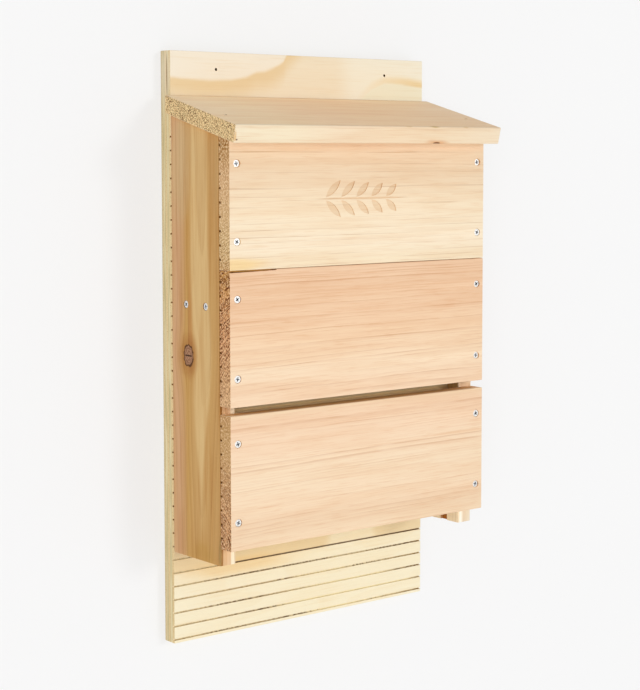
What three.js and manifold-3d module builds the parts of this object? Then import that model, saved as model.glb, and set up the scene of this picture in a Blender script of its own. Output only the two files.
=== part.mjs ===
// A bat box with three roosting chambers, screwed flat to a wall.
//
// Units are millimetres: +X to the right, +Y into the wall, +Z up, so the box faces -Y.
// The origin lies on the back face of the backboard, midway between the two hanging holes.
//
// The box is a grooved plywood backboard, two side boards, three front boards with a slot
// between the middle and the lower one, a sloping roof, and two baffles housed in dadoes
// of the side boards. The baffles part the box into a rear, a middle and a front chamber.

import * as THREE from "three";
import { mergeVertices } from "three/addons/utils/BufferGeometryUtils.js";
import Module from "manifold-3d";

const wasm = await Module();
wasm.setup();

// Backboard

const BOX_WIDTH = 305;
const BACK_THICKNESS = 16;
const BACK_EASE = 0.6;
const HANG_DROP = 16;
const HANG_SPACING = 204;
const HANG_DIAMETER = 4;
const LANDING_HEIGHT = 103.5;

// Boards of the box

const BOARD_THICKNESS = 16.5;
const BOARD_EASE = 1;
const FRONT_BOARD_HEIGHT = 122;
const UPPER_BOARD_HEIGHT = 119.9;
const VENT_HEIGHT = 7.5;
const SIDE_SKIRT = 16;

// Chambers and the baffles between them, from the backboard to the front

const REAR_CHAMBER = 18;
const MIDDLE_CHAMBER = 22;
const FRONT_CHAMBER = 17;
const BAFFLE_THICKNESS = 9.5;
const DADO_DEPTH = 3;
const CRAWL_HEIGHT = 20;

// Roof: its strip is the part of the backboard that stands bare above it

const ROOF_STRIP = 40.5;
const ROOF_SLOPE = THREE.MathUtils.degToRad(14);
const ROOF_OVERHANG_FRONT = 19;
const ROOF_OVERHANG_END = 6;
const ROOF_ARRIS = 2;

// Saw kerfs that the bats cling to: one pitch, one width and one depth on every roosting face

const KERF_PITCH = 12.7;
const KERF_WIDTH = 2;
const KERF_DEPTH = 2;
const KERF_MARGIN = 8;
const BACK_KERF_START = 3.5;
const BACK_KERF_ROOF_MARGIN = 17;

// Countersunk screws, one kind throughout

const SCREW_LENGTH = 32;
const SCREW_TIP = 6;
const SCREW_RADIUS = 1.75;
const SCREW_HEAD_RADIUS = 3.4;
const SCREW_HEAD_HEIGHT = 2.4;
const SCREW_RIM = 0.3;
const SCREW_SINK = 0.4;
const RECESS_REACH = 1.7;
const RECESS_WIDTH = 0.8;
const RECESS_DEPTH = 1.4;

// Where the screws go: in from the board edges that they lie nearest to

const FRONT_SCREW_EDGE = 25.4;
const BACK_SCREW_EDGE = 45;
const BACK_SCREW_ROWS = 3;
const ROOF_SCREW_END = 40;
const BAFFLE_SCREW_RISE = 233.5;

// Roof nails, driven square to the roof into the top of each side board

const NAIL_LENGTH = 32;
const NAIL_TIP = 3;
const NAIL_RADIUS = 0.9;
const NAIL_HEAD_RADIUS = 1.6;
const NAIL_HEAD_HEIGHT = 0.9;
const NAIL_SINK = 0.3;
const NAIL_INSET = 5;

// Gap left in a joint, clearance round a fastener or a housed edge, and overrun of a cut

const JOINT = 0.3;
const FIT = 0.3;
const OVERRUN = 5;

const ROUND_STEPS = 12;
const ARRIS_STEPS = 4;

// Depths, from the back face towards the front

const SIDE_DEPTH = REAR_CHAMBER + MIDDLE_CHAMBER + FRONT_CHAMBER + BAFFLE_THICKNESS + BAFFLE_THICKNESS;
const SIDE_BACK_Y = -BACK_THICKNESS - JOINT;
const SIDE_FRONT_Y = SIDE_BACK_Y - SIDE_DEPTH;
const FRONT_BACK_Y = SIDE_FRONT_Y - JOINT;
const FRONT_Y = FRONT_BACK_Y - BOARD_THICKNESS;
const REAR_BAFFLE_Y = SIDE_BACK_Y - REAR_CHAMBER;
const FRONT_BAFFLE_Y = REAR_BAFFLE_Y - BAFFLE_THICKNESS - MIDDLE_CHAMBER;

// Across the box

const SIDE_X = (BOX_WIDTH - BOARD_THICKNESS) / 2;
const INNER_WIDTH = BOX_WIDTH - 2 * BOARD_THICKNESS;

// Height of the roof along a plumb line, the gap under it, and its fall from the backboard to a depth

const ROOF_RISE = BOARD_THICKNESS / Math.cos(ROOF_SLOPE);
const ROOF_JOINT = JOINT / Math.cos(ROOF_SLOPE);

function roofFall(y) {
    return (SIDE_BACK_Y - y) * Math.tan(ROOF_SLOPE);
}

// The backboard is as tall as what it carries: the landing, the front boards with the slot,
// the rise of the roof back from the upper board, the roof itself and the bare strip above it

const FRONT_HEIGHT = FRONT_BOARD_HEIGHT + VENT_HEIGHT + FRONT_BOARD_HEIGHT + JOINT + UPPER_BOARD_HEIGHT;
const ROOF_HEIGHT = ROOF_JOINT + roofFall(FRONT_BACK_Y) + ROOF_RISE;
const BACK_HEIGHT = LANDING_HEIGHT + FRONT_HEIGHT + ROOF_HEIGHT + ROOF_STRIP;

// Levels, from the hanging line

const TOP_Z = HANG_DROP;
const BOTTOM_Z = TOP_Z - BACK_HEIGHT;
const FRONT_BOTTOM_Z = BOTTOM_Z + LANDING_HEIGHT;
const SIDE_BOTTOM_Z = FRONT_BOTTOM_Z - SIDE_SKIRT;
const MIDDLE_BOTTOM_Z = FRONT_BOTTOM_Z + FRONT_BOARD_HEIGHT + VENT_HEIGHT;
const UPPER_BOTTOM_Z = MIDDLE_BOTTOM_Z + FRONT_BOARD_HEIGHT + JOINT;
const ROOF_UNDER_BACK_Z = TOP_Z - ROOF_STRIP - ROOF_RISE;

function roofUnderside(y) {
    return ROOF_UNDER_BACK_Z - roofFall(y);
}

// The top of a board that the roof lies on, a joint below the roof's underside

function seatUnderRoof(y) {
    return roofUnderside(y) - ROOF_JOINT;
}

// Solids

function toSolid(geometry) {
    const bare = geometry.clone();
    bare.deleteAttribute("normal");
    bare.deleteAttribute("uv");
    const merged = mergeVertices(bare);
    return new wasm.Manifold(new wasm.Mesh({
        numProp: 3,
        vertProperties: new Float32Array(merged.attributes.position.array),
        triVerts: new Uint32Array(merged.index.array),
    }));
}

function toGeometry(solid) {
    const mesh = solid.getMesh();
    const geometry = new THREE.BufferGeometry();
    geometry.setAttribute("position", new THREE.BufferAttribute(mesh.vertProperties, 3));
    geometry.setIndex(new THREE.BufferAttribute(mesh.triVerts, 1));
    geometry.computeVertexNormals();
    return geometry;
}

// A side view of a board (its y and z) drawn out to a length along X, centred on x = 0

function drawnAlongX(shape, length) {
    const geometry = new THREE.ExtrudeGeometry(shape, {
        depth: length,
        bevelEnabled: false,
        curveSegments: ARRIS_STEPS,
    });
    const turn = new THREE.Matrix4().makeBasis(
        new THREE.Vector3(0, 1, 0),
        new THREE.Vector3(0, 0, 1),
        new THREE.Vector3(1, 0, 0),
    );
    geometry.applyMatrix4(turn);
    geometry.translate(-length / 2, 0, 0);
    return geometry;
}

// Kerfs at one pitch, centred on a face of the given height

function centredKerfs(height) {
    const steps = Math.max(0, Math.floor((height - 2 * KERF_MARGIN) / KERF_PITCH));
    const first = (height - steps * KERF_PITCH) / 2;
    return Array.from({ length: steps + 1 }, (_, index) => first + index * KERF_PITCH);
}

// Kerfs of the backboard: from just above its lower edge to just below the roof

function backboardKerfs() {
    const span = ROOF_UNDER_BACK_Z - BACK_KERF_ROOF_MARGIN - BOTTOM_Z - BACK_KERF_START;
    const steps = Math.max(0, Math.floor(span / KERF_PITCH));
    return Array.from({ length: steps + 1 }, (_, index) => BACK_KERF_START + index * KERF_PITCH);
}

// Side view of a grooved board. Its back face is y = 0 and its front face y = -thickness.
// The outline runs up the back face, over the top and down the front face.

function groovedShape({ thickness, topAt, ease, backKerfs = [], frontKerfs = [] }) {
    const half = KERF_WIDTH / 2;
    const front = -thickness;
    const points = [[0, 0]];
    for (const z of backKerfs) {
        points.push([0, z - half], [-KERF_DEPTH, z - half], [-KERF_DEPTH, z + half], [0, z + half]);
    }
    points.push([0, topAt(0)]);
    points.push([front + ease, topAt(front + ease)], [front, topAt(front) - ease]);
    for (const z of [...frontKerfs].reverse()) {
        const floor = front + KERF_DEPTH;
        points.push([front, z + half], [floor, z + half], [floor, z - half], [front, z - half]);
    }
    points.push([front, ease], [front + ease, 0]);
    return new THREE.Shape(points.map(([y, z]) => new THREE.Vector2(y, z)));
}

// Fasteners: each is turned about its own axis with its head at y = 0 and its tip below

function screwOutline(grow, above) {
    return [
        [0, -SCREW_LENGTH - grow],
        [SCREW_RADIUS + grow, SCREW_TIP - SCREW_LENGTH],
        [SCREW_RADIUS + grow, -SCREW_HEAD_HEIGHT - grow],
        [SCREW_HEAD_RADIUS + grow, -SCREW_RIM - grow],
        [SCREW_HEAD_RADIUS + grow, above],
        [0, above],
    ];
}

function nailOutline(grow, above) {
    return [
        [0, -NAIL_LENGTH - grow],
        [NAIL_RADIUS + grow, NAIL_TIP - NAIL_LENGTH],
        [NAIL_RADIUS + grow, -NAIL_HEAD_HEIGHT - grow],
        [NAIL_HEAD_RADIUS + grow, -NAIL_HEAD_HEIGHT - grow],
        [NAIL_HEAD_RADIUS + grow, above],
        [0, above],
    ];
}

function turned(outline) {
    return new THREE.LatheGeometry(outline.map(([radius, y]) => new THREE.Vector2(radius, y)), ROUND_STEPS);
}

// A cross recess: a plus-shaped pit sunk into the screw head, outlined arm by arm

function crossRecess() {
    const reach = RECESS_REACH;
    const half = RECESS_WIDTH / 2;
    const arm = [[reach, -half], [reach, half], [half, half]];
    const points = [];
    for (const angle of [0, Math.PI / 2, Math.PI, -Math.PI / 2]) {
        for (const [x, y] of arm) {
            points.push(new THREE.Vector2(x, y).rotateAround(new THREE.Vector2(), angle));
        }
    }
    const pit = new THREE.ExtrudeGeometry(new THREE.Shape(points), {
        depth: RECESS_DEPTH + OVERRUN,
        bevelEnabled: false,
    });
    pit.rotateX(-Math.PI / 2);
    pit.translate(0, -RECESS_DEPTH, 0);
    return pit;
}

const screwGeometry = toGeometry(toSolid(turned(screwOutline(0, 0))).subtract(toSolid(crossRecess())));
const screwBore = turned(screwOutline(FIT, OVERRUN));
const nailGeometry = turned(nailOutline(0, 0));
const nailBore = turned(nailOutline(FIT, OVERRUN));

const zinc = { color: 0xd9dcdd, roughness: 0.35, metalness: 0.9 };
const steel = { color: 0xa9a59c, roughness: 0.45, metalness: 0.8 };

function fastener(name, kind, position, rotation) {
    const isScrew = kind === "screw";
    const geometry = isScrew ? screwGeometry.clone() : nailGeometry.clone();
    const mesh = new THREE.Mesh(geometry, new THREE.MeshStandardMaterial(isScrew ? zinc : steel));
    mesh.name = name;
    mesh.position.set(...position);
    mesh.rotation.set(...rotation);
    mesh.updateMatrix();
    mesh.userData.bore = isScrew ? screwBore : nailBore;
    return mesh;
}

// Directions in which the fasteners are driven, as rotations of one that points down -Y

const FROM_FRONT = [Math.PI, 0, 0];
const FROM_BACK = [0, 0, 0];
const FROM_LEFT = [0, 0, Math.PI / 2];
const FROM_RIGHT = [0, 0, -Math.PI / 2];
const FROM_ROOF = [Math.PI / 2 + ROOF_SLOPE, 0, 0];

const hands = [["left", -1], ["right", 1]];

// Four screws hold each front board to the front edges of the side boards

function frontScrews(board, lowZ, highZ) {
    const rows = [["low", lowZ + FRONT_SCREW_EDGE], ["high", highZ - FRONT_SCREW_EDGE]];
    return hands.flatMap(([hand, side]) => rows.map(([row, z]) => fastener(
        `${board}_screw_${hand}_${row}`,
        "screw",
        [side * SIDE_X, FRONT_Y + SCREW_SINK, z],
        FROM_FRONT,
    )));
}

const screws = {
    lower: frontScrews("lower", FRONT_BOTTOM_Z, FRONT_BOTTOM_Z + FRONT_BOARD_HEIGHT),
    middle: frontScrews("middle", MIDDLE_BOTTOM_Z, MIDDLE_BOTTOM_Z + FRONT_BOARD_HEIGHT),
    upper: frontScrews("upper", UPPER_BOTTOM_Z, seatUnderRoof(FRONT_BACK_Y)),
};

// One screw through each side board into the end of each baffle

function baffleScrews(baffle, backY) {
    const y = backY - BAFFLE_THICKNESS / 2;
    const z = SIDE_BOTTOM_Z + BAFFLE_SCREW_RISE;
    return hands.map(([hand, side]) => fastener(
        `${baffle}_screw_${hand}`,
        "screw",
        [side * (BOX_WIDTH / 2 - SCREW_SINK), y, z],
        side < 0 ? FROM_LEFT : FROM_RIGHT,
    ));
}

screws.rearBaffle = baffleScrews("rear_baffle", REAR_BAFFLE_Y);
screws.frontBaffle = baffleScrews("front_baffle", FRONT_BAFFLE_Y);

// Screws from behind, through the backboard into the back edges of the side boards

function backScrews() {
    const low = SIDE_BOTTOM_Z + BACK_SCREW_EDGE;
    const high = seatUnderRoof(SIDE_BACK_Y) - BACK_SCREW_EDGE;
    const step = (high - low) / (BACK_SCREW_ROWS - 1);
    return hands.flatMap(([hand, side]) => Array.from({ length: BACK_SCREW_ROWS }, (_, row) => fastener(
        `back_screw_${hand}_${row + 1}`,
        "screw",
        [side * SIDE_X, -SCREW_SINK, low + row * step],
        FROM_BACK,
    )));
}

screws.back = backScrews();

// Screws from behind into the roof. Each runs level, midway in the roof over its grip.

function roofScrews() {
    const grip = SCREW_LENGTH - BACK_THICKNESS;
    const fall = grip * Math.tan(ROOF_SLOPE) / 2;
    const z = ROOF_UNDER_BACK_Z + ROOF_RISE / 2 - fall;
    const reach = BOX_WIDTH / 2 - ROOF_SCREW_END;
    return [["left", -reach], ["centre", 0], ["right", reach]].map(([place, x]) => fastener(
        `roof_screw_${place}`,
        "screw",
        [x, -SCREW_SINK, z],
        FROM_BACK,
    ));
}

screws.roof = roofScrews();

// A nail through the roof into the top of each side board

function roofNails() {
    const underY = SIDE_FRONT_Y + NAIL_INSET;
    const climb = BOARD_THICKNESS - NAIL_SINK;
    const y = underY - climb * Math.sin(ROOF_SLOPE);
    const z = roofUnderside(underY) + climb * Math.cos(ROOF_SLOPE);
    return hands.map(([hand, side]) => fastener(
        `roof_nail_${hand}`,
        "nail",
        [side * SIDE_X, y, z],
        FROM_ROOF,
    ));
}

screws.nails = roofNails();

function onHand(fasteners, side) {
    return fasteners.filter((mesh) => Math.sign(mesh.position.x) === side);
}

// Bores a board for the fasteners that cross it. The board's own origin is at its position.

function bored(solid, position, fasteners) {
    let result = solid;
    for (const mesh of fasteners) {
        const bore = mesh.userData.bore.clone().applyMatrix4(mesh.matrix);
        bore.translate(-position[0], -position[1], -position[2]);
        result = result.subtract(toSolid(bore));
    }
    return result;
}

function board(name, solid, position, fasteners, finish) {
    const geometry = toGeometry(bored(solid, position, fasteners));
    const mesh = new THREE.Mesh(geometry, new THREE.MeshStandardMaterial({ ...finish, metalness: 0 }));
    mesh.name = name;
    mesh.position.set(...position);
    return mesh;
}

// Backboard: grooved on its front face, with two hanging holes near the top

function backboard() {
    const shape = groovedShape({
        thickness: BACK_THICKNESS,
        topAt: () => BACK_HEIGHT,
        ease: BACK_EASE,
        frontKerfs: backboardKerfs(),
    });
    let solid = toSolid(drawnAlongX(shape, BOX_WIDTH));
    for (const [, side] of hands) {
        const length = BACK_THICKNESS + 2 * OVERRUN;
        const hole = new THREE.CylinderGeometry(HANG_DIAMETER / 2, HANG_DIAMETER / 2, length, ROUND_STEPS);
        hole.translate(side * HANG_SPACING / 2, -BACK_THICKNESS / 2, BACK_HEIGHT - HANG_DROP);
        solid = solid.subtract(toSolid(hole));
    }
    const finish = { color: 0xefe0bf, roughness: 0.75 };
    return board("backboard", solid, [0, 0, BOTTOM_Z], [...screws.back, ...screws.roof], finish);
}

// Side board, drawn up from its plan. The plan has the two dadoes in its inner face
// and eased arrises on its outer one. The top is then cut to the slope of the roof.

function sideBoard(name, side) {
    const outer = BOARD_THICKNESS / 2;
    const inner = -outer;
    const floor = inner + DADO_DEPTH;
    const wide = BAFFLE_THICKNESS + 2 * FIT;
    const plan = [
        [outer - BOARD_EASE, 0],
        [outer, -BOARD_EASE],
        [outer, BOARD_EASE - SIDE_DEPTH],
        [outer - BOARD_EASE, -SIDE_DEPTH],
        [inner, -SIDE_DEPTH],
    ];
    for (const backY of [FRONT_BAFFLE_Y, REAR_BAFFLE_Y]) {
        const back = backY - SIDE_BACK_Y + FIT;
        plan.push([inner, back - wide], [floor, back - wide], [floor, back], [inner, back]);
    }
    plan.push([inner, 0]);
    const shape = new THREE.Shape(plan.map(([x, y]) => new THREE.Vector2(side * x, y)));
    const tall = seatUnderRoof(SIDE_BACK_Y) - SIDE_BOTTOM_Z;
    const blank = new THREE.ExtrudeGeometry(shape, { depth: tall + OVERRUN, bevelEnabled: false });

    const drop = OVERRUN * Math.tan(ROOF_SLOPE);
    const frontTall = seatUnderRoof(SIDE_FRONT_Y) - SIDE_BOTTOM_Z;
    const waste = new THREE.Shape([
        new THREE.Vector2(OVERRUN, tall + drop),
        new THREE.Vector2(OVERRUN, tall + SIDE_DEPTH),
        new THREE.Vector2(-SIDE_DEPTH - OVERRUN, tall + SIDE_DEPTH),
        new THREE.Vector2(-SIDE_DEPTH - OVERRUN, frontTall - drop),
    ]);
    const offcut = drawnAlongX(waste, BOARD_THICKNESS + 2 * OVERRUN);
    const solid = toSolid(blank).subtract(toSolid(offcut));

    const fasteners = [
        ...screws.lower, ...screws.middle, ...screws.upper,
        ...screws.rearBaffle, ...screws.frontBaffle, ...screws.back, ...screws.nails,
    ];
    const finish = { color: 0xc8a066, roughness: 0.7 };
    return board(name, solid, [side * SIDE_X, SIDE_BACK_Y, SIDE_BOTTOM_Z], onHand(fasteners, side), finish);
}

// Front board: horizontal, grooved on its inner face, eased along its outer arrises

function frontBoard(name, bottomZ, topAt, fasteners, color) {
    const shape = groovedShape({
        thickness: BOARD_THICKNESS,
        topAt,
        ease: BOARD_EASE,
        backKerfs: centredKerfs(topAt(0)),
    });
    const solid = toSolid(drawnAlongX(shape, BOX_WIDTH));
    return board(name, solid, [0, FRONT_BACK_Y, bottomZ], fasteners, { color, roughness: 0.65 });
}

// Baffle: grooved on both faces, its ends housed in the dadoes of the side boards.
// Its top stays short of the roof, so that bats can cross from chamber to chamber.

function baffle(name, backY, fasteners) {
    const topZ = roofUnderside(backY - BAFFLE_THICKNESS) - CRAWL_HEIGHT;
    const height = topZ - FRONT_BOTTOM_Z;
    const kerfs = centredKerfs(height);
    const shape = groovedShape({
        thickness: BAFFLE_THICKNESS,
        topAt: () => height,
        ease: BACK_EASE,
        backKerfs: kerfs,
        frontKerfs: kerfs.map((z) => z + KERF_PITCH / 2).slice(0, -1),
    });
    const width = INNER_WIDTH + 2 * (DADO_DEPTH - FIT);
    const finish = { color: 0xc9a877, roughness: 0.8 };
    return board(name, toSolid(drawnAlongX(shape, width)), [0, backY, FRONT_BOTTOM_Z], fasteners, finish);
}

// Roof: plumb cut against the backboard, square cut and rounded over at the front

function roof() {
    const run = ROOF_OVERHANG_FRONT + SIDE_BACK_Y - FRONT_Y;
    const cos = Math.cos(ROOF_SLOPE);
    const sin = Math.sin(ROOF_SLOPE);
    const top = new THREE.Vector2(-run, ROOF_RISE - run * Math.tan(ROOF_SLOPE));
    const bottom = new THREE.Vector2(top.x + BOARD_THICKNESS * sin, top.y - BOARD_THICKNESS * cos);
    const quarter = Math.PI / 2;
    const along = new THREE.Vector2(cos, sin).multiplyScalar(ROOF_ARRIS);
    const down = new THREE.Vector2(sin, -cos).multiplyScalar(ROOF_ARRIS);
    const upperCentre = top.clone().add(along).add(down);
    const lowerCentre = bottom.clone().add(along).sub(down);

    const shape = new THREE.Shape();
    shape.moveTo(0, 0);
    shape.lineTo(0, ROOF_RISE);
    shape.absarc(upperCentre.x, upperCentre.y, ROOF_ARRIS, quarter + ROOF_SLOPE, 2 * quarter + ROOF_SLOPE);
    shape.absarc(lowerCentre.x, lowerCentre.y, ROOF_ARRIS, 2 * quarter + ROOF_SLOPE, 3 * quarter + ROOF_SLOPE);
    shape.closePath();

    const solid = toSolid(drawnAlongX(shape, BOX_WIDTH + 2 * ROOF_OVERHANG_END));
    const position = [0, SIDE_BACK_Y, ROOF_UNDER_BACK_Z];
    const finish = { color: 0xd9bd93, roughness: 0.7 };
    return board("roof", solid, position, [...screws.roof, ...screws.nails], finish);
}

const wholeBoardTop = () => FRONT_BOARD_HEIGHT;
const slopingTop = (y) => seatUnderRoof(FRONT_BACK_Y + y) - UPPER_BOTTOM_Z;

const boards = [
    backboard(),
    sideBoard("left_side", -1),
    sideBoard("right_side", 1),
    frontBoard("front_upper", UPPER_BOTTOM_Z, slopingTop, screws.upper, 0xf8dfba),
    frontBoard("front_middle", MIDDLE_BOTTOM_Z, wholeBoardTop, screws.middle, 0xf2cfa6),
    frontBoard("front_lower", FRONT_BOTTOM_Z, wholeBoardTop, screws.lower, 0xf3d4ae),
    baffle("front_baffle", FRONT_BAFFLE_Y, screws.frontBaffle),
    baffle("rear_baffle", REAR_BAFFLE_Y, screws.rearBaffle),
    roof(),
];

const batBox = new THREE.Group();
batBox.add(...boards, ...Object.values(screws).flat());

export default batBox;
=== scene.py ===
# %% [markdown]
# # A bat box, dressed around its solids
#
# The object is a wall-hung bat box: a grooved plywood back, two side boards, three front boards
# with a ventilation slot, two partitions inside (the baffles), a sloping roof, 25 screws and two nails.
# The solids are loaded first as a fixed frame. They could be dressed as they are, but sawn wood
# has torn grooves, rough end grain and softened edges, so each board is modelled again over its solid,
# at the size that the solid gives, and the solid is then hidden.

# %% Load the solids
import math

import bmesh
import bpy
from mathutils import Euler, Matrix, Vector


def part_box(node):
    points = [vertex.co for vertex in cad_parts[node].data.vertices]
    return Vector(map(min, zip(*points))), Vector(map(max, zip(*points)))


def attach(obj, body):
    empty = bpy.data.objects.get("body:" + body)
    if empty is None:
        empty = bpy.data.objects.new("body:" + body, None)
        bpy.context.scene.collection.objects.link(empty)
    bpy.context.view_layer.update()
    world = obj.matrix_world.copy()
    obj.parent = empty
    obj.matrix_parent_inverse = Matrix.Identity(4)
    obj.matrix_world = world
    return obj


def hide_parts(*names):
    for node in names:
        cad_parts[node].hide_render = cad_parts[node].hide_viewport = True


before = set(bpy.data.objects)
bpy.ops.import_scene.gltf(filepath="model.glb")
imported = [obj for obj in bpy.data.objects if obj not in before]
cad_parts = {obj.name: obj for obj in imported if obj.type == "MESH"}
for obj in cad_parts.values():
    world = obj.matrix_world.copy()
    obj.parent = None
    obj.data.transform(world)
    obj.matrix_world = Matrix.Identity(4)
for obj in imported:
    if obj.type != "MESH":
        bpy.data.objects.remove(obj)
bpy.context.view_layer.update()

MM = 0.001

# %% [markdown]
# ## Camera
#
# The camera stands where the photographer stood: in front, to the left, looking a little down.
# It could be aimed by eye, but its place, its turn and its focal length were solved
# from the corners of the boards, so the render lies over the photograph.
# A small lens shift stands for the crop of the picture.

# %% Set up the camera
PICTURE_WIDTH = 640
PICTURE_HEIGHT = 690
FOCAL_LENGTH_PIXELS = 1763.22
LENS_AXIS_PIXEL = (410, 290)
CAMERA_PLACE = (-1.04228, -1.38718, -0.07022)
CAMERA_PITCH = -4.677
CAMERA_YAW = 40.6978
CAMERA_ROLL = 0.1782

camera_data = bpy.data.cameras.new("camera")
camera_data.lens = FOCAL_LENGTH_PIXELS / PICTURE_HEIGHT * camera_data.sensor_width
camera_data.shift_x = (PICTURE_WIDTH / 2 - LENS_AXIS_PIXEL[0]) / PICTURE_HEIGHT
camera_data.shift_y = (LENS_AXIS_PIXEL[1] - PICTURE_HEIGHT / 2) / PICTURE_HEIGHT
camera_data.clip_start = 0.01
camera = bpy.data.objects.new("camera", camera_data)
bpy.context.scene.collection.objects.link(camera)
aim = Euler((math.radians(90 + CAMERA_PITCH), 0, -math.radians(CAMERA_YAW))).to_matrix()
roll = Matrix.Rotation(math.radians(CAMERA_ROLL), 3, "Z")
camera.matrix_world = Matrix.Translation(CAMERA_PLACE) @ (aim @ roll).to_4x4()
bpy.context.scene.camera = camera
print("lens", round(camera_data.lens, 2), "mm")

# %% [markdown]
# ## Tools for shaping boards
#
# A joiner works a board with a few tools: a saw for the blank, a plane for the edges,
# a comb of saw cuts for the grooves, a countersink for the screws. The same few tools
# are written here as functions over Blender's own operators.
# Every operator works on what is selected, so each function starts by selecting only its piece.

# %% Select one piece, and finish it with a modifier
def select_only(piece):
    bpy.ops.object.select_all(action="DESELECT")
    piece.select_set(True)
    bpy.context.view_layer.objects.active = piece


def modify(piece, kind, **settings):
    select_only(piece)
    modifier = piece.modifiers.new(kind.lower(), kind)
    for name, value in settings.items():
        setattr(modifier, name, value)
    bpy.ops.object.modifier_apply(modifier=modifier.name)


# %% [markdown]
# A board starts as a sawn blank, a cube stretched between two corners, and is worked on in edit mode.
# The points to move could be picked by number, but the numbers change with every cut, so
# they are picked by their place.

# %% Saw a blank, and select part of it
def block(name, low, high, turn=(0, 0, 0)):
    bpy.ops.object.select_all(action="DESELECT")
    low, high = Vector(low), Vector(high)
    bpy.ops.mesh.primitive_cube_add(size=1, location=(low + high) / 2, scale=high - low, rotation=turn)
    piece = bpy.context.object
    piece.name = name
    bpy.ops.object.transform_apply(location=True, rotation=True, scale=True)
    return piece


def open_for_editing(piece, mode="VERT"):
    select_only(piece)
    bpy.ops.object.mode_set(mode="EDIT")
    bpy.ops.mesh.select_mode(type=mode)
    bpy.ops.mesh.select_all(action="DESELECT")
    return bmesh.from_edit_mesh(piece.data)


def close_editing():
    bpy.ops.object.mode_set(mode="OBJECT")


def select_points(piece, mesh, wanted):
    for point in mesh.verts:
        if wanted(point.co):
            point.select = True
    mesh.select_flush(True)
    bmesh.update_edit_mesh(piece.data)


# %% [markdown]
# A face can only be roughened where it has points. All edges that run along one direction are
# subdivided together, which does by operator what a loop cut does by hand.

# %% Divide a blank into rows along one direction
def divide(piece, axis, pitch):
    mesh = open_for_editing(piece, "EDGE")
    longest = 0
    for edge in mesh.edges:
        run = edge.verts[1].co - edge.verts[0].co
        if abs(run[axis]) > 0.9 * run.length:
            edge.select = True
            longest = max(longest, run.length)
    bmesh.update_edit_mesh(piece.data)
    bpy.ops.mesh.subdivide(number_cuts=max(1, round(longest / pitch) - 1))
    close_editing()


# %% [markdown]
# ## Rough saw cuts
#
# Sawn end grain is not flat: the fibres tear out in small pits. A bump in the material alone
# would leave the edge dead straight, so the end faces are divided into small squares and
# sunk a little by a noise. The mid level of 1 keeps every point at or below the sawn face,
# so the board never grows past its solid. A strength below zero turns that round, for a cutter.
# The faces are then split into triangles, because a Boolean leaves gaps where a face is bent.

# %% Sink chosen points by a noise
def roughen(piece, name, wanted, grain, depth, direction="NORMAL"):
    group = piece.vertex_groups.new(name=name)
    group.add([point.index for point in piece.data.vertices if wanted(point.co)], 1, "REPLACE")
    pits = bpy.data.textures.new(name, "CLOUDS")
    pits.noise_scale = grain
    pits.noise_depth = 2
    modify(piece, "DISPLACE", texture=pits, texture_coords="LOCAL", direction=direction,
           mid_level=1, strength=depth, vertex_group=name)
    piece.vertex_groups.clear()
    open_for_editing(piece)
    bpy.ops.mesh.select_all(action="SELECT")
    bpy.ops.mesh.quads_convert_to_tris()
    close_editing()


# %% [markdown]
# No sawn board keeps a razor edge. Each edge could be rounded by hand, but a Bevel modifier
# that is limited by angle finds the arrises of a board of any shape.

# %% Take the sharpness off every arris
SMALL_ARRIS = 0.5 * MM


def ease(piece, width, segments=2):
    modify(piece, "BEVEL", width=width, segments=segments, limit_method="ANGLE", angle_limit=math.radians(40))


# %% [markdown]
# Grooves, housings and bores are all cut in one way: a cutter is made, a Boolean modifier takes it
# out of the board, and it is deleted. The exact solver is slower than the others, but it holds
# where faces of the two lie close together.

# %% Cut one shape out of another
def carve(piece, cutter):
    modify(piece, "BOOLEAN", operation="DIFFERENCE", solver="EXACT", object=cutter)
    select_only(cutter)
    bpy.ops.object.delete()


def join(name, pieces):
    bpy.ops.object.select_all(action="DESELECT")
    for piece in pieces:
        piece.select_set(True)
    bpy.context.view_layer.objects.active = pieces[0]
    bpy.ops.object.join()
    pieces[0].name = name
    return pieces[0]


# %% [markdown]
# ## The comb of saw cuts
#
# Bats cling to grooves that are sawn across every roosting face, one every half inch.
# Each cut could be drawn into the outline of the board. Here one cutter is made, repeated
# by an Array modifier into a comb, and taken out of the board in one Boolean.
# A saw tears the face veneer of plywood along the cut, so the comb for the back is
# divided along its length and roughened before it cuts, which makes it swell unevenly.

# %% Make a comb of cutters
KERF_PITCH = 12.7 * MM
BOARD_KERF = 2 * MM
PLYWOOD_KERF = 1.3 * MM
KERF_DEPTH = 2 * MM
FRONT_KERF_DEPTH = 2.9 * MM
OVERRUN = 2 * MM


def kerf_comb(name, face_y, into, first_z, half_length, width=BOARD_KERF, depth=KERF_DEPTH):
    near, far = sorted((face_y - into * OVERRUN, face_y + into * depth))
    return block(name, (-half_length, near, first_z - width / 2), (half_length, far, first_z + width / 2))


def repeat_up(comb, count):
    modify(comb, "ARRAY", count=count, use_relative_offset=False, use_constant_offset=True,
           constant_offset_displace=(0, 0, KERF_PITCH))


# %% [markdown]
# ## Screws and nails
#
# A countersunk screw is turned work, so the master grows from a circle, ring by ring.
# The cross recess is cut with two tapered blades, and the thread is a small diamond
# swept up the shank by the Screw modifier. All 25 screws are copies of this master,
# each with a mesh of its own, turned a little so that no two recesses stand alike.

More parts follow.
